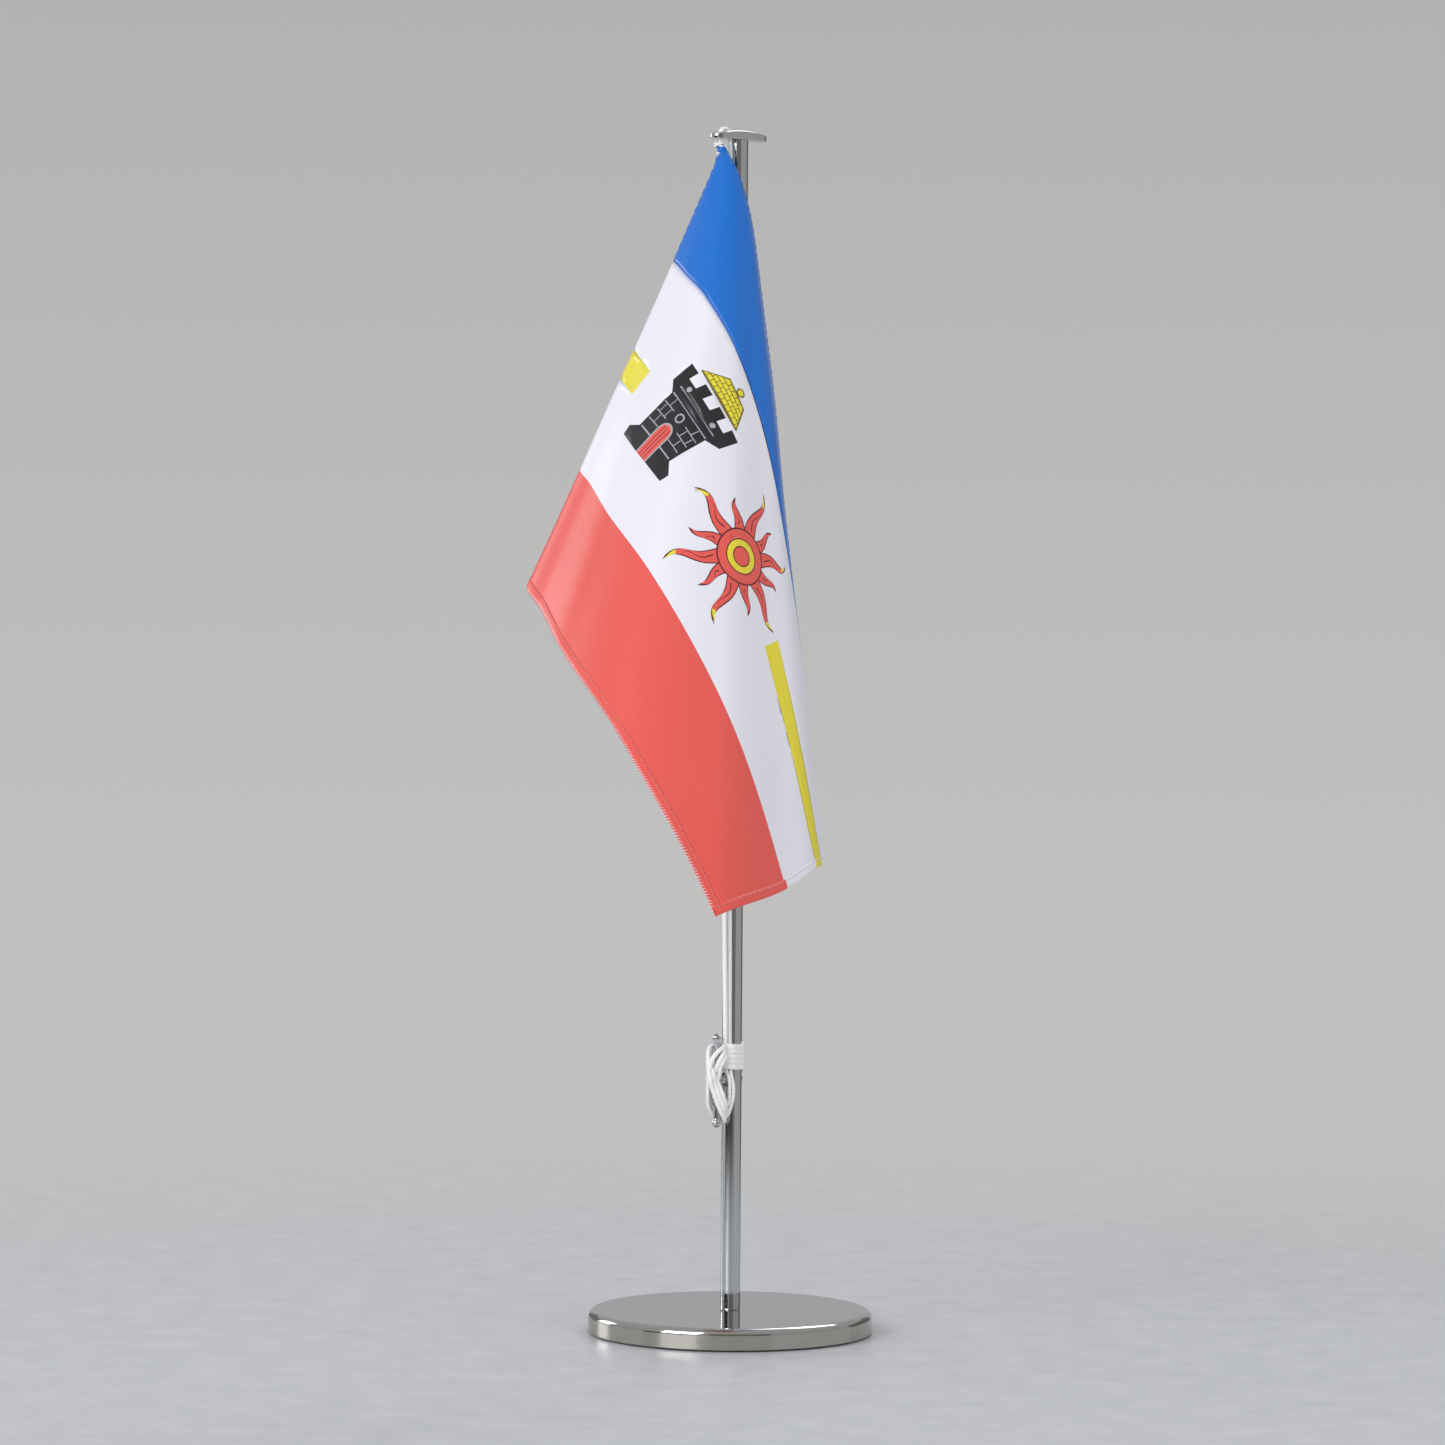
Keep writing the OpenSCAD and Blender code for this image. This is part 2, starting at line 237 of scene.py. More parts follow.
def arc(cr, cz, r, a0, a1, n):
    """Points of (radius, height) on an arc, angles in degrees."""
    angles = [math.radians(lerp(a0, a1, k / n)) for k in range(n + 1)]
    return [(cr + r * math.cos(a), cz + r * math.sin(a)) for a in angles]


# ---- materials
def new_material(name):
    m = bpy.data.materials.new(name)
    m.use_nodes = True
    nt = m.node_tree
    return m, nt, nt.nodes["Principled BSDF"]


def give(socket, v):
    """Links an input to a socket, or sets it to a value."""
    if isinstance(v, bpy.types.NodeSocket):
        socket.id_data.links.new(v, socket)
    else:
        socket.default_value = v


def feed(n, **values):
    """Gives a node its settings and inputs by name."""
    for k, v in values.items():
        if hasattr(n, k):
            setattr(n, k, v)
        else:
            give(n.inputs[k.replace("_", " ")], v)


def node(nt, kind, **values):
    n = nt.nodes.new(kind)
    feed(n, **values)
    return n


def maths(nt, op, a, b=0.0):
    n = node(nt, "ShaderNodeMath", operation=op)
    for i, v in zip(n.inputs, (a, b)):
        give(i, v)
    return n.outputs[0]


def coordinates(nt, kind="Object"):
    return node(nt, "ShaderNodeTexCoord").outputs[kind]


def split(nt, vector):
    """The x, y and z of a vector."""
    return node(nt, "ShaderNodeSeparateXYZ", Vector=vector).outputs


def mapped(nt, vector, scale):
    return node(nt, "ShaderNodeMapping", Vector=vector, Scale=scale).outputs[0]


def object_map(nt, *scale):
    """Object coordinates, scaled by one number or by axis."""
    return mapped(nt, coordinates(nt), scale * 3 if len(scale) == 1 else scale)


def noise(nt, vector, detail, rough):
    n = node(nt, "ShaderNodeTexNoise", Vector=vector, Scale=1.0, Detail=detail, Roughness=rough)
    return n.outputs["Fac"]


def ranged(nt, value, from_min, from_max, to_min=0.0, to_max=1.0, curve="LINEAR"):
    n = node(nt, "ShaderNodeMapRange", interpolation_type=curve, Value=value, From_Min=from_min,
             From_Max=from_max, To_Min=to_min, To_Max=to_max)
    return n.outputs[0]


def spread(nt, value, lo, hi):
    """The middle of a noise, stretched from lo to hi."""
    return ranged(nt, value, 0.3, 0.7, lo, hi)


def bump(nt, bsdf, height, distance, strength):
    b = node(nt, "ShaderNodeBump", Strength=strength, Distance=distance, Height=height)
    feed(bsdf, Normal=b.outputs[0])


def mix(nt, fac, a, b):
    """A colour between a and b, each a tuple or a socket."""
    n = node(nt, "ShaderNodeMix", data_type="RGBA", Factor=fac)
    for name, v in (("A", a), ("B", b)):
        give([i for i in n.inputs if i.name == name and i.type == "RGBA"][0], v)
    return [o for o in n.outputs if o.type == "RGBA"][0]


def metal(name, colour, rough, grain, wear, lines):
    """Plated metal: fine handling marks vary its gloss, and a faint polish line its surface."""
    m, nt, b = new_material(name)
    cloud = noise(nt, object_map(nt, *grain), 4.0, 0.6)
    fine = noise(nt, object_map(nt, *(g * 30 for g in grain)), 3.0, 0.7)
    tint = tuple(c * 0.93 for c in colour[:3]) + (1.0,)
    matt = maths(nt, "ADD", spread(nt, cloud, rough * 0.8, rough * 1.2), spread(nt, fine, 0.0, wear))
    feed(b, Metallic=1.0, Base_Color=mix(nt, spread(nt, cloud, 0, 1), colour, tint), Roughness=matt)
    bump(nt, b, fine, 0.00002, lines)
    return m


def painted_rim_reflection_shade(m, rim_reflection_shade_colour):
    """Painted reflection and shade: the plating is painted warmer and darker on the upright rim, in metres of
    height, than on the flat top, standing in for the warm room the rim reflects and the shade near the floor.
    """
    nt = m.node_tree
    b = nt.nodes["Principled BSDF"]
    plain = b.inputs["Base Color"].links[0].from_socket
    height = split(nt, coordinates(nt))["Z"]
    feed(b, Base_Color=mix(nt, ranged(nt, height, 0.0055, 0.0078), rim_reflection_shade_colour, plain))


def cast_iron():
    m, nt, b = new_material("cast_iron")
    grain = noise(nt, object_map(nt, 900), 6.0, 0.7)
    tone = mix(nt, spread(nt, grain, 0, 1), linear((58, 58, 60)), linear((88, 86, 84)))
    feed(b, Metallic=0.6, Base_Color=tone, Roughness=spread(nt, grain, 0.55, 0.8))
    bump(nt, b, grain, 0.0002, 0.6)
    return m


def felt_pad():
    m, nt, b = new_material("felt")
    hair = noise(nt, object_map(nt, 2200), 5.0, 0.75)
    cloud = noise(nt, object_map(nt, 240), 3.0, 0.6)
    tone = mix(nt, spread(nt, cloud, 0, 1), linear((28, 30, 33)), linear((48, 50, 54)))
    feed(b, Base_Color=tone, Roughness=0.95, Sheen_Weight=0.5, Sheen_Roughness=0.6)
    bump(nt, b, hair, 0.0004, 0.9)
    return m


def thread_material(name, colour, dark, pitch=0.6):
    """Braided thread, drawn along the tube's own map: x in cord widths, y round it, with painted shade in the
    grooves between its strands.
    """
    m, nt, b = new_material(name)
    uv = split(nt, node(nt, "ShaderNodeUVMap", uv_map="braid").outputs[0])
    x = maths(nt, "MULTIPLY", uv[0], 2 * math.pi * pitch)
    y = maths(nt, "MULTIPLY", uv[1], 2 * math.pi * 4)
    s1 = maths(nt, "SINE", maths(nt, "ADD", x, y))
    s2 = maths(nt, "SINE", maths(nt, "SUBTRACT", x, y))
    weave = maths(nt, "MAXIMUM", maths(nt, "ABSOLUTE", s1), maths(nt, "ABSOLUTE", s2))
    hair = noise(nt, object_map(nt, 5000), 3.0, 0.7)
    # Painted shade: the colour blends towards the darker colour in the grooves of the braid.
    deep = maths(nt, "SUBTRACT", 1.0, maths(nt, "POWER", weave, 3.0))
    feed(b, Base_Color=mix(nt, maths(nt, "MULTIPLY", deep, 0.8), colour, dark), Roughness=0.62)
    feed(b, Sheen_Weight=0.35, Sheen_Roughness=0.4)
    feed(b, Subsurface_Weight=0.12, Subsurface_Radius=(0.001, 0.001, 0.001))
    bump(nt, b, maths(nt, "ADD", weave, maths(nt, "MULTIPLY", hair, 0.25)), 0.00012, 0.6)
    return m


def satin(name, wash, rough, shine):
    """Printed satin: the print from the mesh's colours, with fine warp and weft from the flat map."""
    m, nt, b = new_material(name)
    ink = node(nt, "ShaderNodeAttribute", attribute_name="print").outputs["Color"]
    flat = node(nt, "ShaderNodeUVMap", uv_map="cloth").outputs[0]
    uv = split(nt, flat)
    thread = 0.00022  # metres from one to the next, as the map is in metres of flat cloth
    u = maths(nt, "MULTIPLY", uv[0], 2 * math.pi / thread)
    v = maths(nt, "MULTIPLY", uv[1], 2 * math.pi / thread)
    warp = maths(nt, "SINE", u)
    weft = maths(nt, "SINE", maths(nt, "ADD", v, maths(nt, "MULTIPLY", u, 0.2)))
    weave = maths(nt, "MULTIPLY", maths(nt, "ADD", maths(nt, "MULTIPLY", warp, 0.35), weft), 0.5)
    slub = noise(nt, mapped(nt, flat, (60, 2600, 1)), 3.0, 0.6)
    cloud = noise(nt, mapped(nt, flat, (22, 22, 1)), 3.0, 0.5)
    faded = maths(nt, "ADD", spread(nt, slub, wash, wash + 0.012), spread(nt, cloud, 0.0, 0.008))
    feed(b, Base_Color=mix(nt, faded, ink, (0.86, 0.86, 0.9, 1)), Specular_IOR_Level=shine)
    feed(b, Roughness=spread(nt, slub, rough - 0.04, rough + 0.05))
    height = maths(nt, "ADD", maths(nt, "MULTIPLY", weave, 0.35), maths(nt, "MULTIPLY", slub, 0.4))
    bump(nt, b, height, 0.00002, 0.5)
    return m


CHROME = linear((206, 208, 209))
chrome = metal("chrome", CHROME, 0.045, (40, 40, 40), 0.02, 0.05)
base_metal = metal("base_chrome", CHROME, 0.06, (30, 30, 30), 0.03, 0.05)
# Painted reflection and shade: the base's upright rim is tinted warmer and darker than its top.
painted_rim_reflection_shade(base_metal, linear((186, 182, 174)))
chrome_pole = metal("chrome_pole", CHROME, 0.05, (60, 60, 9), 0.02, 0.05)
nickel = metal("screw_nickel", linear((190, 188, 182)), 0.2, (300, 300, 300), 0.08, 0.3)
steel = metal("screw_steel", linear((176, 176, 174)), 0.28, (300, 300, 300), 0.1, 0.3)
brass = metal("brass", linear((196, 158, 90)), 0.25, (250, 250, 250), 0.1, 0.3)
iron = cast_iron()
felt = felt_pad()
# The second colour of each thread is the painted shade in its braid's grooves.
white_cord = thread_material("cord_braid", linear((250, 250, 250)), linear((226, 226, 228)), 1 / 1.15)
white_thread = thread_material("thread_white", linear((246, 244, 248)), linear((214, 210, 216)))
pink_thread = thread_material("thread_pink", linear((244, 142, 146)), linear((214, 98, 102)))
blue_thread = thread_material("thread_blue", linear((86, 132, 214)), linear((44, 84, 172)))
pale_thread = thread_material("thread_pale", linear((232, 230, 238)), linear((206, 202, 212)))
satin_front = satin("satin_front", 0.0, 0.3, 0.42)
satin_back = satin("satin_back", 0.14, 0.5, 0.25)

# ---- the cord's route
PI = math.pi
STEP = 0.5
BACK_TOP = ARM * HOLE_IN + UP * ARM_Z
BACK_FOOT = Vector((-0.9, -4.35, 103.1))
RUN_HEIGHTS = (115, 130, 150, 175, 200, 230, 260, 290, 320, 350, 375, 395, 410)
OVER_ARM = [(5.5, 0.6), (5.32, 1.9), (4.55, 3.12), (2.75, 3.55), (0.95, 3.12), (0.18, 1.9), (0, 0.6)]
WRAP_TURNS, WRAP_START, WRAP_LOW, WRAP_HIGH = 5.5, -75, 92.3, 101.5
POLE_TURN_R, RUNS_TURN_R, RUNS_OUT, RUNS_SIDE = 3.92, 3.2, 3.3, math.radians(12)


def eight(t, layer):
    """Figure of eight round the horns; each layer lies further out than the one before."""
    front = math.sin(t) ** 2
    r = lerp(5.6 - 0.2 * layer, 10.0 + 1.2 * layer, front ** 0.65)
    wide = (2.75 + 0.38 * layer) * (1 - 0.3 * layer * front)
    c = wide * math.sin(2 * t) + max(0.0, 0.5 - 0.2 * layer)
    z = (10.6 + 0.95 * layer) * math.cos(t) + (2.2 + 0.9 * layer) * front - 0.5
    return at(r, c, CLEAT_Z + z)


def turns(t0, t1, first, last, n):
    return [eight(lerp(t0, t1, k / n), lerp(first, last, k / n)) for k in range(n + 1)]


def wrap_point(k):
    """Level turns round the pole and, in front of it, round the two runs; each steps up behind the pole."""
    w = WRAP_TURNS * k
    a = math.radians(WRAP_START - 360 * w)
    s, c = POLE_TURN_R * math.cos(a), POLE_TURN_R * math.sin(a)
    if RUNS_OUT * math.cos(a - RUNS_SIDE) > 0.8:
        s = RUNS_OUT * math.cos(RUNS_SIDE) + RUNS_TURN_R * math.cos(a)
        c = RUNS_OUT * math.sin(RUNS_SIDE) + RUNS_TURN_R * math.sin(a)
    level = int(w) + smooth((w - int(w) - 0.22) / 0.5)
    return at(s, c, lerp(WRAP_LOW, WRAP_HIGH, min(level / (WRAP_TURNS - 0.3), 1)))


def cord_route():
    # From the hidden end through two turns on the cleat, up under the wrap and along the flag's run
    pts = [at(4.9, -2.9, 89), at(4.9, -3.2, 85), at(5.0, -2.9, 80.5)]
    pts += turns(-3.06 * PI, -PI, 1.5, 0.5, 24)
    pts += turns(-PI, 1.06 * PI, 0.5, -0.4, 24)[1:]
    pts += [at(5.0, 2.6, 81), at(4.9, 2.7, 85), at(4.8, 2.8, 88.5)]
    pts += [Vector((-1.9, -4.6, 92)), Vector((-2.3, -4.5, 95.5)), Vector((-2.45, -4.7, 99.5))]
    pts += [Vector((-2.45, -5.3, 102)), RUN_FOOT]
    pts += [on_run(z) for z in RUN_HEIGHTS]
    pts += [ARM * (HOLE_IN + q) + UP * (ARM_Z + h) for q, h in OVER_ARM]
    # Down beside the pole, under the wrap, one turn on the cleat and then the turns round the pole
    pts += [BACK_TOP.lerp(BACK_FOOT, k / 12) for k in range(1, 13)]
    pts += [Vector((-0.75, -4.35, 99)), Vector((-0.6, -4.35, 95)), Vector((-0.3, -4.4, 91.2))]
    pts += [at(3.4, 3.3, 87), at(3.7, 3.2, 82.5)]
    pts += turns(1.06 * PI, -1.06 * PI, 2.2, 2.8, 26)
    pts += [at(4.4, -3.2, 81), at(4.1, -3.7, 85.5), at(3.4, -3.8, 89.5), at(2.3, -3.9, 92.3)]
    n = round(WRAP_TURNS * 24)
    pts += [wrap_point(k / n) for k in range(n + 1)]
    return [Vector(p) for p in pts]


# ---- the turns on the cleat, drawn taut
TAUT_BELOW = 92.6
ROUNDS, LAST_ROUNDS = 120, 13
TIGHTEN, EVEN_OUT, PUSH, LAST_PUSH = 0.02, 0.45, 0.35, 0.15
CLOSEST, NEIGHBOURS = 1.32, 9
ARM_ROW, ACROSS_ROW = np.array(ARM), np.array(ACROSS)


def low_stretches(path):
    """The first and last points of each stretch of cord on the cleat."""
    groups = []
    for i in [i for i, p in enumerate(path) if p.z < TAUT_BELOW]:
        if groups and i - groups[-1][-1] < 60:
            groups[-1].append(i)
        else:
            groups.append([i])
    return [(g[0], g[-1] + 1) for g in groups if len(g) > 20]


def tightened(Q, held):
    """Every point moves a little towards its neighbours and a lot towards an even bend."""
    pull = np.zeros_like(Q)
    pull[1:-1] = (Q[:-2] + Q[2:]) / 2 - Q[1:-1]
    even = np.zeros_like(Q)
    even[1:-1] = pull[1:-1] - (pull[:-2] + pull[2:]) / 2
    step = TIGHTEN * pull + EVEN_OUT * even
    step[held] = 0
    return Q + step


def parted(Q, held, same, share):
    """Strands that lie too close push one another apart."""
    d = Q[:, None] - Q[None]
    far = np.sqrt((d * d).sum(-1)) + 1e-9
    deep = np.clip(CLOSEST - far, 0, None)
    deep[same] = 0
    push = (d / far[..., None] * deep[..., None]).sum(1) * PUSH
    push[held] = 0
    return Q + push * share


def off_bar(Q):
    """The bar is an arc bent away from the pole, thicker at its ends."""
    s, c, z = Q @ ARM_ROW, Q @ ACROSS_ROW, Q[:, 2]
    up = np.clip(z - CLEAT_Z, -15, 15)
    middle = CLEAT_OUT + CLEAT_BEND - np.sqrt(CLEAT_BEND ** 2 - up ** 2)
    need = BAR_R + CORD_R + 0.5 * np.clip((np.abs(up) - 12) / 3, 0, 1)
    r = np.hypot(s - middle, c) + 1e-9
    out = np.clip(need - r, 0, None)
    return Q + ((s - middle) / r * out)[:, None] * ARM_ROW + (c / r * out)[:, None] * ACROSS_ROW


def off_post(Q):
    s, c, z = Q @ ARM_ROW, Q @ ACROSS_ROW, Q[:, 2] - CLEAT_Z
    r = np.hypot(c, z) + 1e-9
    out = np.where(s < CLEAT_OUT, np.clip(POST_R + CORD_R - r, 0, None), 0)
    Q = Q + (c / r * out)[:, None] * ACROSS_ROW
    Q[:, 2] += z / r * out
    return Q


def off_pole(Q):
    r = np.hypot(Q[:, 0], Q[:, 1])
    out = np.clip(POLE_R + CORD_R - r, 0, None)
    Q[:, 0] += Q[:, 0] / r * out
    Q[:, 1] += Q[:, 1] / r * out
    return Q


def settle(path):
    """Draws the strands on the cleat taut, against the bar, its post, the pole and one another."""
    stretches = low_stretches(path)
    index = np.concatenate([np.arange(a, b) for a, b in stretches])
    same = np.abs(index[:, None] - index[None, :]) < NEIGHBOURS
    held = np.zeros(len(index), bool)
    n = 0
    for a, b in stretches:
        held[n:n + 3] = True
        n += b - a
        held[n - 3:n] = True
    Q = np.array([tuple(path[i]) for i in index])
    for k in range(ROUNDS):
        Q = tightened(Q, held)
        Q = parted(Q, held, same, LAST_PUSH if k >= ROUNDS - LAST_ROUNDS else 1.0)
        Q = off_pole(off_post(off_bar(Q)))
    for i, q in zip(index, Q):
        path[i] = Vector(q)


path, _ = spline(cord_route(), STEP)
settle(path)
cord_len = sum((b - a).length for a, b in zip(path, path[1:]))
wrap_from = min(range(len(path)), key=lambda i: (path[i] - wrap_point(0)).length)


def press(i, off):
    """The turns round the pole are drawn flat and those on the cleat a little; the rest stays round."""
    p = path[i]
    t = smooth((i - wrap_from + 6) / 12)
    if t > 0:
        radial = Vector((p.x, p.y, 0)).normalized()
        inward = off.dot(radial)
        return (off - radial * inward) * lerp(1, 1.2, t) + radial * (inward * lerp(1, 0.5, t))
    near = smooth(1 - abs(p.z - CLEAT_Z) / 16) if p.z < 110 else 0
    radial = p - (ARM * CLEAT_OUT + UP * p.z)
    radial.z = 0
    if radial.length < 1e-6 or near <= 0:
        return off
    radial.normalize()
    inward = off.dot(radial)
    return (off - radial * inward) * lerp(1, 1.08, near) + radial * (inward * lerp(1, 0.82, near))


def braid_uv(ob, rings, sides, width, step):
    """The tube's own map: x along it in widths, y round it. The points past the last ring round its ends."""
    n = rings * sides
    layer = ob.data.uv_layers.new(name="braid")
    for poly in ob.data.polygons:
        ks = []
        for li in poly.loop_indices:
            vi = ob.data.loops[li].vertex_index
            i, k = divmod(vi, sides)
            if vi >= n:
                i, k = 0 if vi < n + 2 * sides + 1 else rings - 1, (vi - n) % sides
            ks.append((li, i, k))
        wraps = max(k for _, _, k in ks) - min(k for _, _, k in ks) > sides / 2
        for li, i, k in ks:
            past = sides if wraps and k < sides / 2 else 0
            layer.data[li].uv = (i * step / width, (k + past) / sides)


def braided(name, pts, r, sides, width, step, body, material, shape=None, closed=False):
    """A cord or thread along a path, its braid drawn for a width and a step from ring to ring."""
    v, f = tube(pts, r, sides, shape, closed)
    ob = add_mesh(name, v, f, body, [material])
    braid_uv(ob, len(pts), sides, width, step)
    return ob


cord = braided("halyard_cord", path, CORD_R, 12, 2 * CORD_R, cord_len / (len(path) - 1), "stand",
               white_cord, press)
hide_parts("halyard", "halyard_wrap", "halyard_cleat_turns")

# ---- the flag's surface
# The cloth hangs from its corner: angle in the flat cloth, then x and y of the way it runs from there
DRAPE = [
    (0, 0.14, -0.05), (8, 0.14, -0.19), (16, 0.13, -0.33), (24, 0.08, -0.40), (31, 0, -0.475),
    (40, -0.14, -0.50), (50, -0.27, -0.39), (58, -0.345, -0.28), (63, -0.39, -0.20), (68, -0.345, -0.14),
    (78, -0.19, -0.05), (90, 0.012, 0.0065),
]
CORNER = on_run(413) + Vector((0.7, -1.6, 0))
APEX_LIFT = 2.6


def slope(i):
    a, b = DRAPE[max(i - 1, 0)], DRAPE[min(i + 1, len(DRAPE) - 1)]
    return (b[1] - a[1]) / (b[0] - a[0]), (b[2] - a[2]) / (b[0] - a[0])


SLOPES = [slope(i) for i in range(len(DRAPE))]


def cloth_at(u, v):
    """A place on the hung cloth: u is the way from the hoist and v from the upper edge, in flat cloth."""
    r = math.hypot(u, v)
    if r < 1e-9:
        return CORNER + Vector((0, 0, APEX_LIFT))
    angle = math.degrees(math.atan2(v, u))
    i = 0
    while i < len(DRAPE) - 2 and angle >= DRAPE[i + 1][0]:
        i += 1
    h = DRAPE[i + 1][0] - DRAPE[i][0]
    t = (angle - DRAPE[i][0]) / h
    w0, w1 = 2 * t ** 3 - 3 * t * t + 1, (t ** 3 - 2 * t * t + t) * h
    w2, w3 = 3 * t * t - 2 * t ** 3, (t ** 3 - t * t) * h
    x = w0 * DRAPE[i][1] + w1 * SLOPES[i][0] + w2 * DRAPE[i + 1][1] + w3 * SLOPES[i + 1][0]
    y = w0 * DRAPE[i][2] + w1 * SLOPES[i][1] + w2 * DRAPE[i + 1][2] + w3 * SLOPES[i + 1][1]
    # The upper edge swells to the right, and the cloth is drawn up towards the corner
    k = max(0.0, 1 - angle / 75)
    swell = 8.5 * (1 - math.exp(-r / 14)) * (1 - r / 290) * k * k * (3 - 2 * k)
    lift = APEX_LIFT * math.exp(-r / 26)
    return CORNER + Vector((x, y, -math.sqrt(max(0.0, 1 - x * x - y * y)))) * r + Vector((swell, 0, lift))


def cloth_normal(u, v):
    e = 0.6
    u0, u1 = max(u - e, 0.01), u + e
    v0, v1 = max(v - e, 0.0), v + e
    du = cloth_at(u1, v) - cloth_at(u0, v)
    dv = cloth_at(u, v1) - cloth_at(u, v0)
    return dv.cross(du).normalized()


def ripple(u, v):
    """Slack in the cloth: broad shallow waves, and small puckers along the sewn edges."""
    r = math.hypot(u, v)
    near = smooth(r / 40)
    broad = 0.35 * math.sin(u / 23 + v / 31 + 0.7) * math.sin(v / 19 - u / 57)
    broad += 0.22 * math.sin(u / 11 - v / 27)
    edge = min(FLAG_W - v, FLAG_L - u, v)
    along = u if edge == FLAG_W - v or edge == v else v
    pucker = 0.025 * math.exp(-(max(edge, 0) / 4) ** 2) * math.sin(along * 1.15) * smooth(r / 20)
    return broad * near * 0.6 + pucker


def sheet_at(u, v, n=0.0):
    """A place n in front of the hung and rippled cloth."""
    return cloth_at(u, v) + cloth_normal(u, v) * (n + ripple(u, v))


# ---- the print
BLUE, RED = linear((6, 108, 204)), linear((231, 90, 82))
WHITE, YELLOW = linear((232, 232, 242)), linear((232, 218, 56))
BLACK, GREY, DARK = linear((26, 26, 30)), linear((168, 168, 176)), linear((84, 22, 24))
GOLD = linear((112, 98, 22))
STRIPES, GAP = (39.0, 69.0, 79.0, 110.0), (54.5, 170.0)  # across the flag, and the yellow's gap along it


def stripe(u, v):
    if v < STRIPES[0]:
        return BLUE
    if v > STRIPES[3]:
        return RED
    if STRIPES[1] < v < STRIPES[2] and (u < GAP[0] or u > GAP[1]):
        return YELLOW
    return WHITE


def disc(r, n=28, x0=0.0, y0=0.0):
    angles = [2 * math.pi * k / n for k in range(n)]
    return [(x0 + r * math.cos(a), y0 + r * math.sin(a)) for a in angles]


def arch(w, y0, y1, n=8):
    """A doorway from y0, with a round top that starts at y1."""
    angles = [math.pi * k / n for k in range(n + 1)]
    return [(-w, y0), (w, y0)] + [(w * math.cos(a), y1 + w * math.sin(a)) for a in angles]


def box(x0, y0, x1, y1):
    return [(x0, y0), (x1, y0), (x1, y1), (x0, y1)]


shapes = []  # (colour, outline in flat cloth), later ones lie on top


def draw(colour, shape, u0, v0, scale, turn=0.0, sy=1.0):
    """Prints a shape, drawn with y up, at a place in the flat cloth; sy stretches its height."""
    c, s = math.cos(turn), math.sin(turn)
    placed = [(u0 + scale * (x * c - y * sy * s), v0 - scale * (x * s + y * sy * c)) for x, y in shape]
    shapes.append((colour, placed))


# A black keep with a tiled golden roof
KEEP_AT = (84.0, 71.5, 1.2)
keep = [
    (-14, -15), (14, -15), (14.5, -12), (10.5, -9.5), (10, 3), (13.8, 5.5), (13.8, 12.5), (9.8, 12.5),
    (9.8, 9.2), (5.8, 9.2), (5.8, 12.5), (2, 12.5), (2, 9.2), (-2, 9.2), (-2, 12.5), (-5.8, 12.5),
    (-5.8, 9.2), (-9.8, 9.2), (-9.8, 12.5), (-13.8, 12.5), (-13.8, 5.5), (-10, 3), (-10.5, -9.5),
    (-14.5, -12),
]
draw(BLACK, keep, *KEEP_AT)
for y in (-9.4, 3.1, 5.7):
    draw(GREY, box(-9.6, y, 9.6, y + 0.45), *KEEP_AT)
for row, y in enumerate((-6.2, -3.1, 0.0)):
    draw(GREY, box(-9.7, y, -3.6, y + 0.3), *KEEP_AT)
    draw(GREY, box(3.6, y, 9.7, y + 0.3), *KEEP_AT)
    for x in ((-8.2, -5.0, 5.0, 8.2) if row % 2 else (-6.6, 6.6)):
        draw(GREY, box(x, y, x + 0.3, y + 2.9), *KEEP_AT)
draw(GREY, arch(3.4, -15, -6.2), *KEEP_AT)
draw(RED, arch(2.8, -15, -6.2), *KEEP_AT)
for x in (-1.4, 0, 1.4):
    draw(DARK, box(x - 0.16, -15, x + 0.16, -4.2), *KEEP_AT)
for x in (-6.6, 6.6):
    draw(GREY, disc(0.9, 28, x, 7.4), *KEEP_AT)
draw(GREY, disc(1.6, 28, 0, 0.2), *KEEP_AT)
draw(BLACK, disc(1.1, 28, 0, 0.2), *KEEP_AT)
draw(GOLD, [(-10.6, 13.6), (10.6, 13.6), (4.9, 20.3), (-4.9, 20.3)], *KEEP_AT)
draw(YELLOW, [(-9.6, 14.1), (9.6, 14.1), (4.6, 19.8), (-4.6, 19.8)], *KEEP_AT)
for row in range(4):
    y = 14.1 + 1.42 * row
    w = 9.6 - (y - 14.1) * 0.877
    if row:
        draw(GOLD, box(-w, y - 0.14, w, y + 0.14), *KEEP_AT)
    for x in range(-4, 5):
        q = x * 2.1 + (1.05 if row % 2 else 0)
        if abs(q) < w - 0.9:
            draw(GOLD, box(q - 0.12, y, q + 0.12, y + 1.42), *KEEP_AT)
draw(GOLD, disc(1.5, 20, 0, 21.6), *KEEP_AT)
draw(YELLOW, disc(1.05, 20, 0, 21.6), *KEEP_AT)

# A red wavy-rayed star with golden tips, each ray edged in a dark line
STAR_AT = (138.5, 75.5, 1.1, 0.18, 1.06)


def ray(phi, w, r0, r1, wave, t0=0.0, n=14):
    """A wavy ray at an angle, from r0 out to r1; a t0 above 0 leaves only its tip."""
    left, right = [], []
    for k in range(n + 1):
        t = lerp(t0, 1, k / n)
        r = lerp(r0, r1, t)
        half = w * (1 - t) ** 0.75 / r * 8
        mid = phi + wave * math.sin(2 * math.pi * t) * (0.4 + 0.6 * t)
        left.append((r * math.cos(mid + half), r * math.sin(mid + half)))
        right.append((r * math.cos(mid - half), r * math.sin(mid - half)))
    return right + left[::-1][1:]


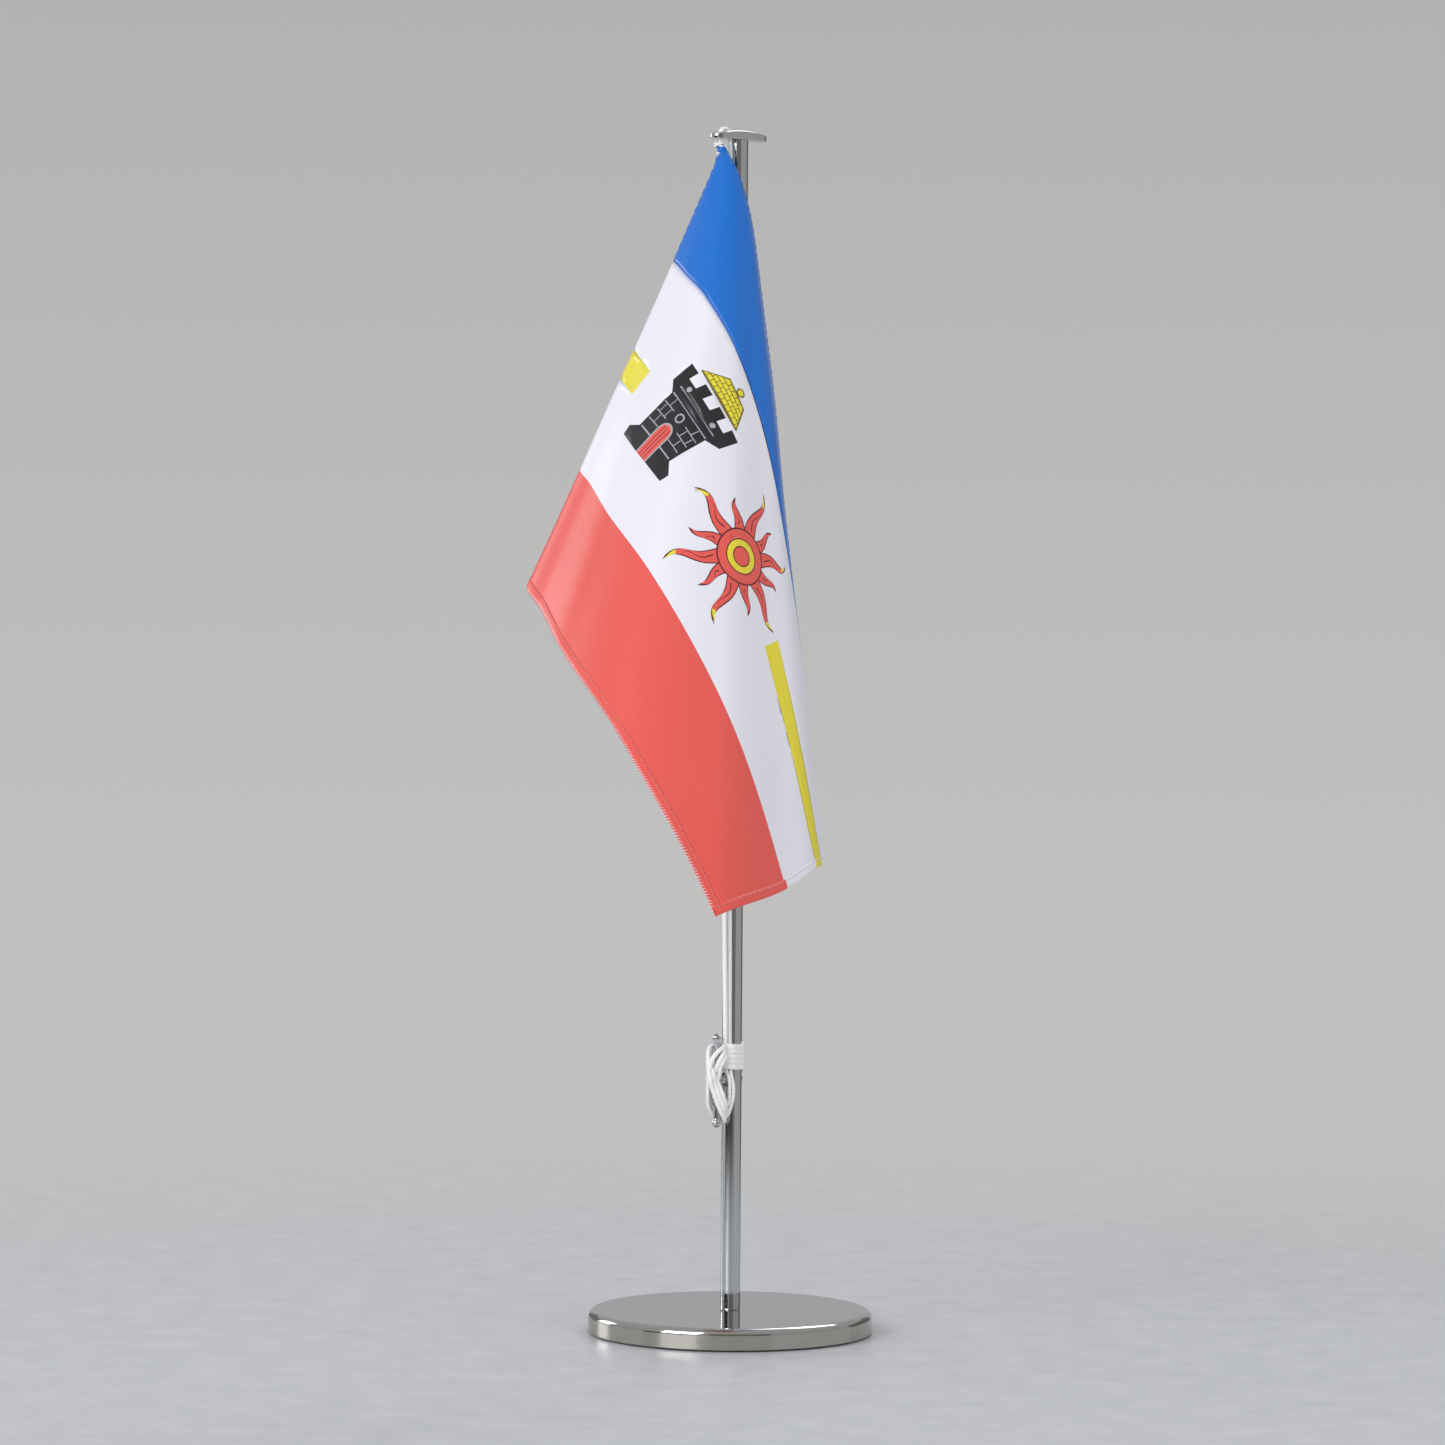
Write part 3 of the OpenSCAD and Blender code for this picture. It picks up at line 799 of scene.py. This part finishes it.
for k in range(12):
    phi = 2 * math.pi * k / 12
    long = k % 2 == 0
    r1, wave = (25.5, 0.10) if long else (18.5, -0.07)
    w = 0.3 if long else 0.25
    draw(DARK, ray(phi, w + 0.055, 7.0, r1 + 0.9, wave), *STAR_AT)
    draw(RED, ray(phi, w, 7.0, r1, wave), *STAR_AT)
    draw(DARK, ray(phi, 0.03, 10.5, r1 - 4.5, wave), *STAR_AT)
    if long:
        draw(YELLOW, ray(phi, w, 7.0, r1, wave, 0.8), *STAR_AT)
RINGS = ((DARK, 9.3, 48), (RED, 8.8, 48), (DARK, 5.9, 40), (YELLOW, 5.5, 40), (DARK, 3.4, 32), (RED, 3.0, 32))
for colour, r, n in RINGS:
    draw(colour, disc(r, n), *STAR_AT)


def inside(poly, x, y):
    hit = False
    j = len(poly) - 1
    for i in range(len(poly)):
        xi, yi = poly[i]
        xj, yj = poly[j]
        if (yi > y) != (yj > y) and x < (xj - xi) * (y - yi) / (yj - yi) + xi:
            hit = not hit
        j = i
    return hit


def bounds(shape):
    us, vs = zip(*shape)
    return min(us), max(us), min(vs), max(vs)


boxes = [bounds(s) for _, s in shapes]


def colour_at(u, v):
    for (colour, s), b in zip(shapes[::-1], boxes[::-1]):
        if b[0] <= u <= b[1] and b[2] <= v <= b[3] and inside(s, u, v):
            return colour
    return stripe(u, v)


# ---- the flag, meshed in its flat shape and hung
NU, NV = 160, 120
NEAR_MARK = 0.45
co, edges, seen = [], [], {}


def put(x, y):
    key = (round(x, 4), round(y, 4))
    if key not in seen:
        seen[key] = len(co)
        co.append(Vector((x, y)))
    return seen[key]


for colour, s in shapes:
    ids = [put(x, y) for x, y in s]
    edges += [(a, b) for a, b in zip(ids, ids[1:] + ids[:1]) if a != b]
cells = {}
for p in co:
    cells.setdefault((int(p.x), int(p.y)), []).append(p)


def clear(x, y, d):
    """Whether a place is away from every outline's points."""
    for i in (-1, 0, 1):
        for j in (-1, 0, 1):
            for p in cells.get((int(x) + i, int(y) + j), ()):
                if abs(p.x - x) < d and abs(p.y - y) < d:
                    return False
    return True


for i in range(NU + 1):
    for j in range(NV + 1):
        x, y = FLAG_L * i / NU, FLAG_W * j / NV
        if i in (0, NU) or j in (0, NV) or clear(x, y, NEAR_MARK):
            put(x, y)
for x in GAP:
    edges.append((put(x, STRIPES[1]), put(x, STRIPES[2])))
for y in (STRIPES[0], STRIPES[3]):
    edges.append((put(0.0, y), put(FLAG_L, y)))
for y in STRIPES[1:3]:
    edges += [(put(0.0, y), put(GAP[0], y)), (put(GAP[1], y), put(FLAG_L, y))]
vco, _, tri, _, _, _ = delaunay_2d_cdt(co, edges, [], 0, 1e-5)
verts = [sheet_at(p.x, p.y) for p in vco]
faces, colours = [], []
for f in tri:
    c = sum((vco[i] for i in f), Vector((0, 0))) / len(f)
    a, b, d = (vco[i] for i in f[:3])
    turn = (b - a).x * (d - a).y - (b - a).y * (d - a).x
    # The flat map's u runs right and v down, so the front is the clockwise side
    faces.append(tuple(f) if turn < 0 else tuple(f)[::-1])
    colours.append(colour_at(c.x, c.y))
flag = add_mesh("flag_satin", verts, faces, "flag", [satin_front, satin_back])


def paint(ob, colours):
    layer = ob.data.color_attributes.new(name="print", type="FLOAT_COLOR", domain="CORNER")
    for poly, c in zip(ob.data.polygons, colours):
        for li in poly.loop_indices:
            layer.data[li].color = c


def flat_map(ob, flat_co):
    layer = ob.data.uv_layers.new(name="cloth")
    for loop in ob.data.loops:
        p = flat_co[loop.vertex_index]
        layer.data[loop.index].uv = (p[0] * MM, p[1] * MM)


paint(flag, colours)
flat_map(flag, vco)
thick = flag.modifiers.new("cloth", "SOLIDIFY")
thick.thickness = CLOTH_T * MM
thick.offset = 0
thick.material_offset = 1
thick.material_offset_rim = 0
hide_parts("flag_cloth")

# ---- hems: the cloth folded back on itself
# Across the edge: how far in from it, and how far in front of the cloth
SECTION = [
    (3.15, 0.18), (2.6, 0.17), (2.1, 0.22), (1.2, 0.27), (0.4, 0.25), (0.0, 0.14), (-0.16, -0.08),
    (-0.1, -0.32), (0.2, -0.47), (1.2, -0.5), (2.1, -0.46), (2.6, -0.38), (3.1, -0.43), (3.3, -0.3),
    (3.2, -0.1),
]
EDGE_STEP = 1.25


def edge_line(u0, v0, u1, v1, du, dv):
    """Places along an edge, each with the way into the cloth."""
    n = round(math.hypot(u1 - u0, v1 - v0) / EDGE_STEP)
    return [(lerp(u0, u1, k / n), lerp(v0, v1, k / n), du, dv) for k in range(n + 1)]


def clamp(u, v):
    return min(max(u, 0.0), FLAG_L), min(max(v, 0.0), FLAG_W)


def edge_point(u, v, du, dv, d, n):
    """A point d in from the edge, which for a negative d lies just outside it, and n off the cloth."""
    a, b = clamp(u + du * max(d, 0), v + dv * max(d, 0))
    p = sheet_at(a, b, n)
    if d < 0:
        q = cloth_at(*clamp(u + du, v + dv))
        p += (cloth_at(u, v) - q).normalized() * -d
    return p, (a, b)


def along(line, i, t):
    """A place a share t of the way from point i of an edge to the next."""
    return [lerp(x, y, t) for x, y in zip(line[i][:2], line[i + 1][:2])] + list(line[i][2:])


def hem(name, line):
    m = len(SECTION)
    verts, faces, flat_co, cols = [], grid(len(line), m), [], []
    for q in line:
        for d, n in SECTION:
            p, f = edge_point(*q, d, n)
            verts.append(p)
            flat_co.append((f[0] + (6 if n < -0.2 else 0), f[1]))
    for i in range(len(line) - 1):
        u, v, du, dv = line[i]
        c = stripe(*clamp(u + du * 1.5 + 0.01, v + dv * 1.5 + 0.01))
        cols += [c] * m
    for i, r in ((0, 1), (len(line) - 1, -1)):
        faces.append(tuple(i * m + k for k in range(m))[::r])
        cols.append(stripe(*clamp(line[i][0], line[i][1])))
    # Faces look outwards whichever way the edge runs
    a, b, c = (verts[k] for k in faces[2][:3])
    mid = sum((verts[k] for k in range(m)), Vector()) / m
    if (b - a).cross(c - a).dot((a + b) / 2 - mid) < 0:
        faces = [f[::-1] for f in faces]
    ob = add_mesh(name, verts, faces, "flag", [satin_front])
    paint(ob, cols)
    flat_map(ob, flat_co)
    return ob


lower = edge_line(0, FLAG_W, FLAG_L, FLAG_W, 0, -1)
fly = edge_line(FLAG_L, FLAG_W, FLAG_L, 0, -1, 0)
upper = edge_line(FLAG_L, 0, 7, 0, 0, 1)
hems = [hem("hem_lower", lower), hem("hem_fly", fly), hem("hem_upper", upper)]
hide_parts("edge_hem")


# ---- sewing
STITCH_LONG, STITCH_PITCH, STITCH_R = 2.25, 2.7, 0.17
TAPER = [0.35, 0.8, 1, 1, 1, 0.8, 0.35]


def thread_of(u, v):
    c = stripe(*clamp(u, v))
    return pink_thread if c is RED else blue_thread if c is BLUE else pale_thread


def stitch_row(name, line, d, n, arch_h=0.1):
    """Single stitches sunk at both ends, d in from the edge and n in front of the cloth."""
    total = [0.0]
    for a, b in zip(line, line[1:]):
        total.append(total[-1] + math.hypot(b[0] - a[0], b[1] - a[1]))
    mats, verts, faces, indices, start_of = [], [], [], [], []
    s = 1.2
    while s + STITCH_LONG < total[-1] - 0.8:
        pts = []
        for k in range(7):
            w = s + STITCH_LONG * k / 6
            i = min(int(w / total[-1] * (len(line) - 1)), len(line) - 2)
            q = along(line, i, (w - total[i]) / (total[i + 1] - total[i]))
            lift = n + math.copysign(arch_h * math.sin(math.pi * k / 6) - 0.06, n)
            pts.append(edge_point(*q, d + 0.12 * (k / 6 - 0.5), lift)[0])
        v, f = tube(pts, lambda i: STITCH_R * TAPER[i], 6)
        base = len(verts)
        verts += v
        faces += [tuple(base + x for x in g) for g in f]
        start_of += [base] * len(v)
        m = thread_of(*line[min(int(s / total[-1] * (len(line) - 1)), len(line) - 1)][:2])
        if m not in mats:
            mats.append(m)
        indices += [mats.index(m)] * len(f)
        s += STITCH_PITCH * (1 + 0.05 * (rnd.random() - 0.5))
    ob = add_mesh(name, verts, faces, "flag", mats)
    ob.data.polygons.foreach_set("material_index", indices)
    layer = ob.data.uv_layers.new(name="braid")
    for loop in ob.data.loops:
        k = loop.vertex_index - start_of[loop.vertex_index]
        layer.data[loop.index].uv = ((k // 6) * 0.9, (k % 6) / 6)
    return ob


def overlock(name, line, material):
    """Thread that loops round a cut edge, 1.1 mm from loop to loop."""
    pts = []
    n = len(line) - 1
    total = n * EDGE_STEP
    loops = int(total / 1.1)
    for k in range(loops * 10 + 1):
        w = k / (loops * 10) * n
        i = min(int(w), n - 1)
        a = 2 * math.pi * k / 10
        q = along(line, i, w - i)
        pts.append(edge_point(*q, 0.22 - 0.5 * math.cos(a), -0.12 + 0.46 * math.sin(a))[0])
    return braided(name, pts, 0.13, 5, 0.5, total / len(pts), "flag", material)


for name, line in (("lower", lower), ("fly", fly), ("upper", upper)):
    stitch_row("stitch_%s_front" % name, line, 2.55, 0.2)
    stitch_row("stitch_%s_back" % name, line, 2.55, -0.44)
overlock("overlock_lower", lower[4:-2], white_thread)


# ---- tunnel for the cord: the hoist edge, sewn round it
TUNNEL_R = 1.04


def hoist_tunnel(rows=120, sides=28):
    verts, faces, cols, flat_co = [], [], [], []
    for i in range(rows + 1):
        v = lerp(1.0, FLAG_W, i / rows)
        edge = cloth_at(0.001, v)
        axis = on_run(edge.z)
        out = edge - axis
        out -= RUN * out.dot(RUN)
        reach = out.length
        out.normalize()
        side = RUN.cross(out)
        for k in range(sides):
            a = 2 * math.pi * k / sides
            # Towards the flag the tunnel is drawn out to meet the cloth
            off = (math.degrees(a) + 180) % 360 - 180
            tail = math.exp(-(off / 34) ** 2)
            r = TUNNEL_R + 0.035 * math.sin(v * 0.9 + 2 * a) + (reach + 0.15 - TUNNEL_R) * tail
            verts.append(axis + (out * math.cos(a) + side * math.sin(a)) * r)
            flat_co.append((1.3 * a, v))
    for i in range(rows):
        for k in range(sides):
            j = (k + 1) % sides
            faces.append((i * sides + k, (i + 1) * sides + k, (i + 1) * sides + j, i * sides + j))
            cols.append(stripe(1.0, lerp(1.0, FLAG_W, (i + 0.5) / rows)))
    ob = add_mesh("hoist_tunnel", verts, faces, "flag", [satin_front])
    paint(ob, cols)
    flat_map(ob, flat_co)
    wall = ob.modifiers.new("cloth", "SOLIDIFY")
    wall.thickness = 0.16 * MM
    wall.offset = -1
    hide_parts("hoist_sleeve")
    return ob


tunnel = hoist_tunnel()
hoist = edge_line(0, 3, 0, FLAG_W - 1, 1, 0)
stitch_row("stitch_hoist_front", hoist, 2.3, 0.14, arch_h=0.06)
stitch_row("stitch_hoist_back", hoist, 2.3, -0.14, arch_h=0.06)


# ---- knot above the flag, and its corner's binding
def stop_knot():
    pts = []
    for k in range(91):
        t = 2 * math.pi * k / 90
        r = 1.62 + 0.42 * math.cos(3 * t)
        across = Vector((r * math.cos(2 * t), r * math.sin(2 * t), 0))
        pts.append(on_run(415) + across + RUN * (0.5 * math.sin(3 * t)))
    knot = braided("stop_knot_cord", pts, 0.42, 10, 0.84, 0.24, "hoist_knot", white_cord,
                   closed=True)
    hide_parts("stop_knot")


def corner_binding():
    """Three turns of thread round the flag's top corner and its cord."""
    pts = []
    for k in range(73):
        t = 2 * math.pi * k / 24
        middle = on_run(412.6 - 0.42 * k / 24) + Vector((0.3, -0.75, 0))
        pts.append(middle + Vector((1.45 * math.cos(t), 1.75 * math.sin(t), 0.25 * math.sin(t))))
    braided("corner_binding", pts, 0.2, 8, 0.4, 0.4, "flag", white_thread)


stop_knot()
corner_binding()


# ---- base cover and pole
def base_cover():
    skin = 0.8
    side, middle = BASE_R - EDGE_R, BASE_H - EDGE_R
    profile = [(r, BASE_H) for r in (2.1, 3.6, 20, 35, 44, 46.6)] + [(47.1, BASE_H - 0.004)]
    profile += arc(side, middle, EDGE_R, 88, 4, 22)
    profile += [(BASE_R, z) for z in (5.2, 3.2, 1.25)]
    profile += arc(BASE_R - 0.3, LIP_Z + 0.3, 0.3, 0, -90, 6)
    profile += [(BASE_R - 0.6, LIP_Z), (BASE_R - skin, LIP_Z + 0.2), (BASE_R - skin, 5.5)]
    profile += arc(side, middle, EDGE_R - skin, 4, 88, 10)
    profile += [(r, BASE_H - skin) for r in (40, 20, 2.1)]
    v, f = lathe(profile, 256, closed=True)
    cover = add_mesh("base_cover", v, [g[::-1] for g in f], "stand", [base_metal])
    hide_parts("base_shell")


def pole():
    top, foot, edge = ARM_Z - 0.02, BASE_H + 0.02, 0.2
    profile = arc(POLE_R - edge, foot + edge, edge, -90, 0, 5)
    profile += [(POLE_R, z) for z in (9, 12, 30, 80, 120, 200, 300, 400, 415)]
    profile += arc(POLE_R - edge, top - edge, edge, 0, 90, 5) + [(BORE_R, top), (BORE_R, foot)]
    v, f = lathe(profile, 96, closed=True)
    ob = add_mesh("pole_chromed", v, f, "stand", [chrome_pole])
    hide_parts("pole_tube")


base_cover()
pole()

# ---- top arm: crowned bar with eased edges
EDGE, HEAD_R, SCREW_R = 0.45, 2.6, 1.5
HOLES = [(x, HOLE_R, 0.3) for x in (-HOLE_OUT, -HOLE_IN, HOLE_IN, HOLE_OUT)]  # place, radius, eased edge


def outline(inset, n=44):
    """The bar from above, a given distance inside its edge."""
    r = ARM_W / 2 - inset
    angles = [math.radians(lerp(-90, 90, k / n)) for k in range(n + 1)]
    along = [lerp(HOLE_OUT, -HOLE_OUT, k / 40) for k in range(1, 40)]
    pts = [Vector((HOLE_OUT + r * math.cos(a), r * math.sin(a))) for a in angles]
    pts += [Vector((x, r)) for x in along]
    pts += [Vector((-HOLE_OUT - r * math.cos(a), r * math.sin(a))) for a in angles[::-1]]
    pts += [Vector((-x, -r)) for x in along]
    return pts


def ring(x, r, n=32):
    angles = [2 * math.pi * k / n for k in range(n)]
    return [Vector((x + r * math.cos(a), r * math.sin(a))) for a in angles]


def eased(d, r):
    """How far a rounded edge of radius r has dropped at a distance d inside it."""
    return 0.0 if d >= r else r - math.sqrt(max(0.0, r * r - (r - d) ** 2))


def crown(x):
    return ARM_Z + ARM_H - CROWN_R + math.sqrt(CROWN_R ** 2 - x * x)


def to_edge(p):
    return ARM_W / 2 - math.hypot(max(abs(p.x) - HOLE_OUT, 0), p.y)


def arm_skin(is_top):
    """One side of the bar as a height field, and the loops of its outer edge and holes."""
    holes = HOLES + [(0.0, HEAD_R if is_top else SCREW_R, 0.12)]
    co, cons, loops = [], [], []

    def loop(pts):
        ids = list(range(len(co), len(co) + len(pts)))
        co.extend(pts)
        cons.extend(zip(ids, ids[1:] + ids[:1]))
        return ids

    loops.append(loop(outline(0)))
    for inset in (0.03, 0.09, 0.17, 0.27, 0.38, EDGE, 0.7):
        loop(outline(inset))
    for x, r, e in holes:
        loops.append(loop(ring(x, r)))
        for o in (0.04, 0.1, 0.2, e, e + 0.2):
            loop(ring(x, r + o))
    for i in range(-34, 35):
        for j in range(-7, 8):
            p = Vector((i * 0.4, j * 0.38))
            if to_edge(p) >= 0.85 and all(math.hypot(p.x - x, p.y) >= r + e + 0.32 for x, r, e in holes):
                co.append(p)
    flat, _, tri, _, _, _ = delaunay_2d_cdt(co, cons, [], 0, 1e-6)
    out, faces = [], []
    for p in flat:
        low = eased(max(to_edge(p), 0), EDGE)
        for x, r, e in holes:
            low = max(low, eased(max(math.hypot(p.x - x, p.y) - r, 0), e))
        out.append(Vector((p.x, p.y, crown(p.x) - low if is_top else ARM_Z + low * 0.6)))
    for t in tri:
        a, b, d = (flat[i] for i in t)
        c = sum((flat[i] for i in t), Vector((0, 0))) / 3
        if to_edge(c) >= 0 and all(math.hypot(c.x - x, c.y) >= r * 0.985 for x, r, e in holes):
            faces.append(tuple(t) if ((b - a).cross(d - a) > 0) == is_top else tuple(t)[::-1])
    near = {(round(p.x, 5), round(p.y, 5)): i for i, p in enumerate(flat)}
    loops = [[near[(round(co[i].x, 5), round(co[i].y, 5))] for i in ids] for ids in loops]
    return out, faces, loops


def top_arm():
    verts, faces, over = arm_skin(True)
    low_verts, low_faces, under = arm_skin(False)
    n = len(verts)
    faces = faces + [tuple(i + n for i in f) for f in low_faces]
    for h, (a, b) in enumerate(zip(over, under)):
        b = [i + n for i in b]
        for k in range(len(a)):
            j = (k + 1) % len(a)
            f = (b[k], b[j], a[j], a[k])
            faces.append(f if h == 0 else f[::-1])
    turned = Matrix.Rotation(-math.pi / 2 - TURN, 3, "Z")
    verts = [turned @ p for p in verts + low_verts]
    bar = add_mesh("arm_chromed", verts, faces, "stand", [chrome])
    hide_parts("top_arm")


top_arm()


# ---- cleat
def horns():
    half = math.asin((CLEAT_LONG / 2 - BALL_R) / CLEAT_BEND)
    pts, radii = [], []
    n = 96
    for k in range(n + 1):
        t = lerp(-1, 1, k / n)
        a = half * t
        pts.append(at(CLEAT_OUT + CLEAT_BEND * (1 - math.cos(a)), 0, CLEAT_Z + CLEAT_BEND * math.sin(a)))
        d = (1 - abs(t)) * half * CLEAT_BEND
        bar = 1.16 + 0.24 * math.exp(-(d - 14) ** 2 / 40)
        radii.append(max(bar, math.sqrt(max(0.0, BALL_R ** 2 - d * d))))
    # The half of each ball beyond the bar's end
    angles = [math.radians(w) for w in range(8, 89, 8)]
    low = (pts[0] - pts[1]).normalized()
    high = (pts[-1] - pts[-2]).normalized()
    beyond = [BALL_R * math.cos(w) for w in angles]
    pts = ([pts[0] + low * BALL_R * math.sin(w) for w in angles[::-1]] + pts
           + [pts[-1] + high * BALL_R * math.sin(w) for w in angles])
    radii = beyond[::-1] + radii + beyond
    v, f = tube(pts, lambda i: radii[i], 40)
    bar = add_mesh("cleat_horns", v, f, "stand", [chrome])
    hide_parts("cleat")


def post():
    """The flared post, whose foot is cut to the pole."""
    profile = [(0.0, 3.0), (2.66, 3.0), (2.72, 3.2), (2.66, 3.6), (2.35, 4.3), (2.0, 5.2), (1.86, 6.2)]
    profile += [(POST_R, 6.6), (1.8, 7.2), (1.2, 7.6), (0, 7.7)]
    v, f = lathe(profile, 48)
    axes = Matrix((ACROSS, UP, ARM)).transposed()
    verts = []
    for p in v:
        if p.z < 3.3:
            gap = 0.02 if p.z <= 3.0 else 0.2
            p = Vector((p.x, p.y, math.sqrt(max(POLE_R ** 2 - p.x * p.x, 0)) + gap))
        verts.append(axes @ p + UP * CLEAT_Z)
    add_mesh("cleat_post", verts, f, "stand", [chrome])


horns()
post()

# ---- materials for the CAD parts that stay
CAD_MATERIALS = {
    "base_weight": iron, "base_felt": felt, "base_screw": steel, "base_washer": steel, "foot_insert": brass,
    "top_insert": brass, "arm_screw": nickel, "cleat_screw": nickel,
}
for name, mat in CAD_MATERIALS.items():
    ob = bpy.data.objects[name]
    if not ob.material_slots:
        ob.data.materials.append(mat)
    for s in ob.material_slots:
        s.material = mat


# ---- floor, which fades into the backdrop
def floor_material():
    m, nt, b = new_material("floor")
    speck = noise(nt, object_map(nt, 60), 6.0, 0.65)
    tone = mix(nt, spread(nt, speck, 0, 1), linear((196, 199, 204)), linear((212, 214, 218)))
    far = node(nt, "ShaderNodeVectorMath", operation="LENGTH", Vector=coordinates(nt)).outputs["Value"]
    feed(b, Base_Color=tone, Roughness=0.32, Specular_IOR_Level=0.35)
    feed(b, Alpha=ranged(nt, far, 0.16, 0.75, 1.0, 0.0, "SMOOTHSTEP"))
    bump(nt, b, noise(nt, object_map(nt, 700), 4.0, 0.6), 0.00005, 0.25)
    return m


def stage_mesh(name, verts, faces, material):
    ob = new_object(name, verts, faces, [material], False)
    return ob


v, f = lathe([(r, 0) for r in (0, 60, 120, 250, 500, 800)], 96)
stage_mesh("floor", [p * MM for p in v], f, floor_material())


# ---- light
def studio():
    """An even grey backdrop, a little darker above the horizon."""
    world = bpy.data.worlds.new("studio")
    scene.world = world
    world.use_nodes = True
    nt = world.node_tree
    height = split(nt, coordinates(nt, "Generated"))["Z"]
    tone = mix(nt, ranged(nt, height, -0.06, 0.12), linear((192, 192, 191)), linear((176, 176, 176)))
    feed(nt.nodes["Background"], Strength=1.0, Color=tone)


def softbox(name, azimuth, elevation, distance, width, height, power, tint=(1, 1, 1), glossy=True):
    """A soft light that looks at the middle of the object. Azimuth 0 is the camera's side, 90 its left."""
    a, e = math.radians(azimuth), math.radians(elevation)
    aimed = Vector((0, 0, 0.2))
    back = Vector((-math.sin(a) * math.cos(e), -math.cos(a) * math.cos(e), math.sin(e)))
    d = bpy.data.lights.new(name, "AREA")
    d.shape = "RECTANGLE"
    d.size, d.size_y = width, height
    d.energy = power
    d.color = tint
    o = bpy.data.objects.new(name, d)
    o.location = aimed + back * distance
    o.rotation_euler = (-back).to_track_quat("-Z", "Y").to_euler()
    o.visible_camera = False
    o.visible_glossy = glossy
    scene.collection.objects.link(o)


def card(name, azimuth, z, width, height, distance, shade):
    """A dark card seen only in reflections, for the room's darker walls."""
    a = math.radians(azimuth)
    middle = Vector((-math.sin(a), -math.cos(a), 0)) * distance
    across = Vector((math.cos(a), -math.sin(a), 0))
    corners = box(-width / 2, -height / 2, width / 2, height / 2)
    m, _, b = new_material(name)
    feed(b, Base_Color=(0, 0, 0, 1), Specular_IOR_Level=0)
    feed(b, Emission_Color=shade + (1,), Emission_Strength=1)
    o = stage_mesh(name, [middle + across * x + UP * (z + y) for x, y in corners], [(0, 1, 2, 3)], m)
    o.visible_camera = o.visible_diffuse = o.visible_shadow = o.visible_transmission = False


DAYLIGHT = (0.97, 0.98, 1.0)
studio()
softbox("window", 42, 24, 2.4, 1.3, 1.3, 33, DAYLIGHT)
softbox("fill", -38, 12, 2.5, 1.4, 1.2, 17, glossy=False)
softbox("side_window", 124, 14, 2.4, 0.7, 0.9, 9, DAYLIGHT)
softbox("ceiling", -150, 48, 2.2, 1.1, 0.7, 9)
card("card_front_left", 51, 0.0, 1.8, 0.9, 2.2, (0.02, 0.02, 0.022))
card("card_front_low", 12, -0.2, 2.3, 0.14, 2.1, (0.05, 0.05, 0.052))
card("card_front_right", -8, 0.3, 2.1, 1.7, 2.25, (0.20, 0.19, 0.175))
card("card_side_right", -70, 0.2, 3.2, 1.6, 2.05, (0.42, 0.42, 0.415))
card("card_edge_right", -134, 0.25, 1.8, 1.2, 2.25, (0.17, 0.165, 0.16))
card("card_edge_left", 150, 0.25, 1.1, 1.2, 2.3, (0.20, 0.20, 0.20))
card("card_back", 180, 0.42, 2.6, 0.62, 2.6, (0.43, 0.435, 0.44))
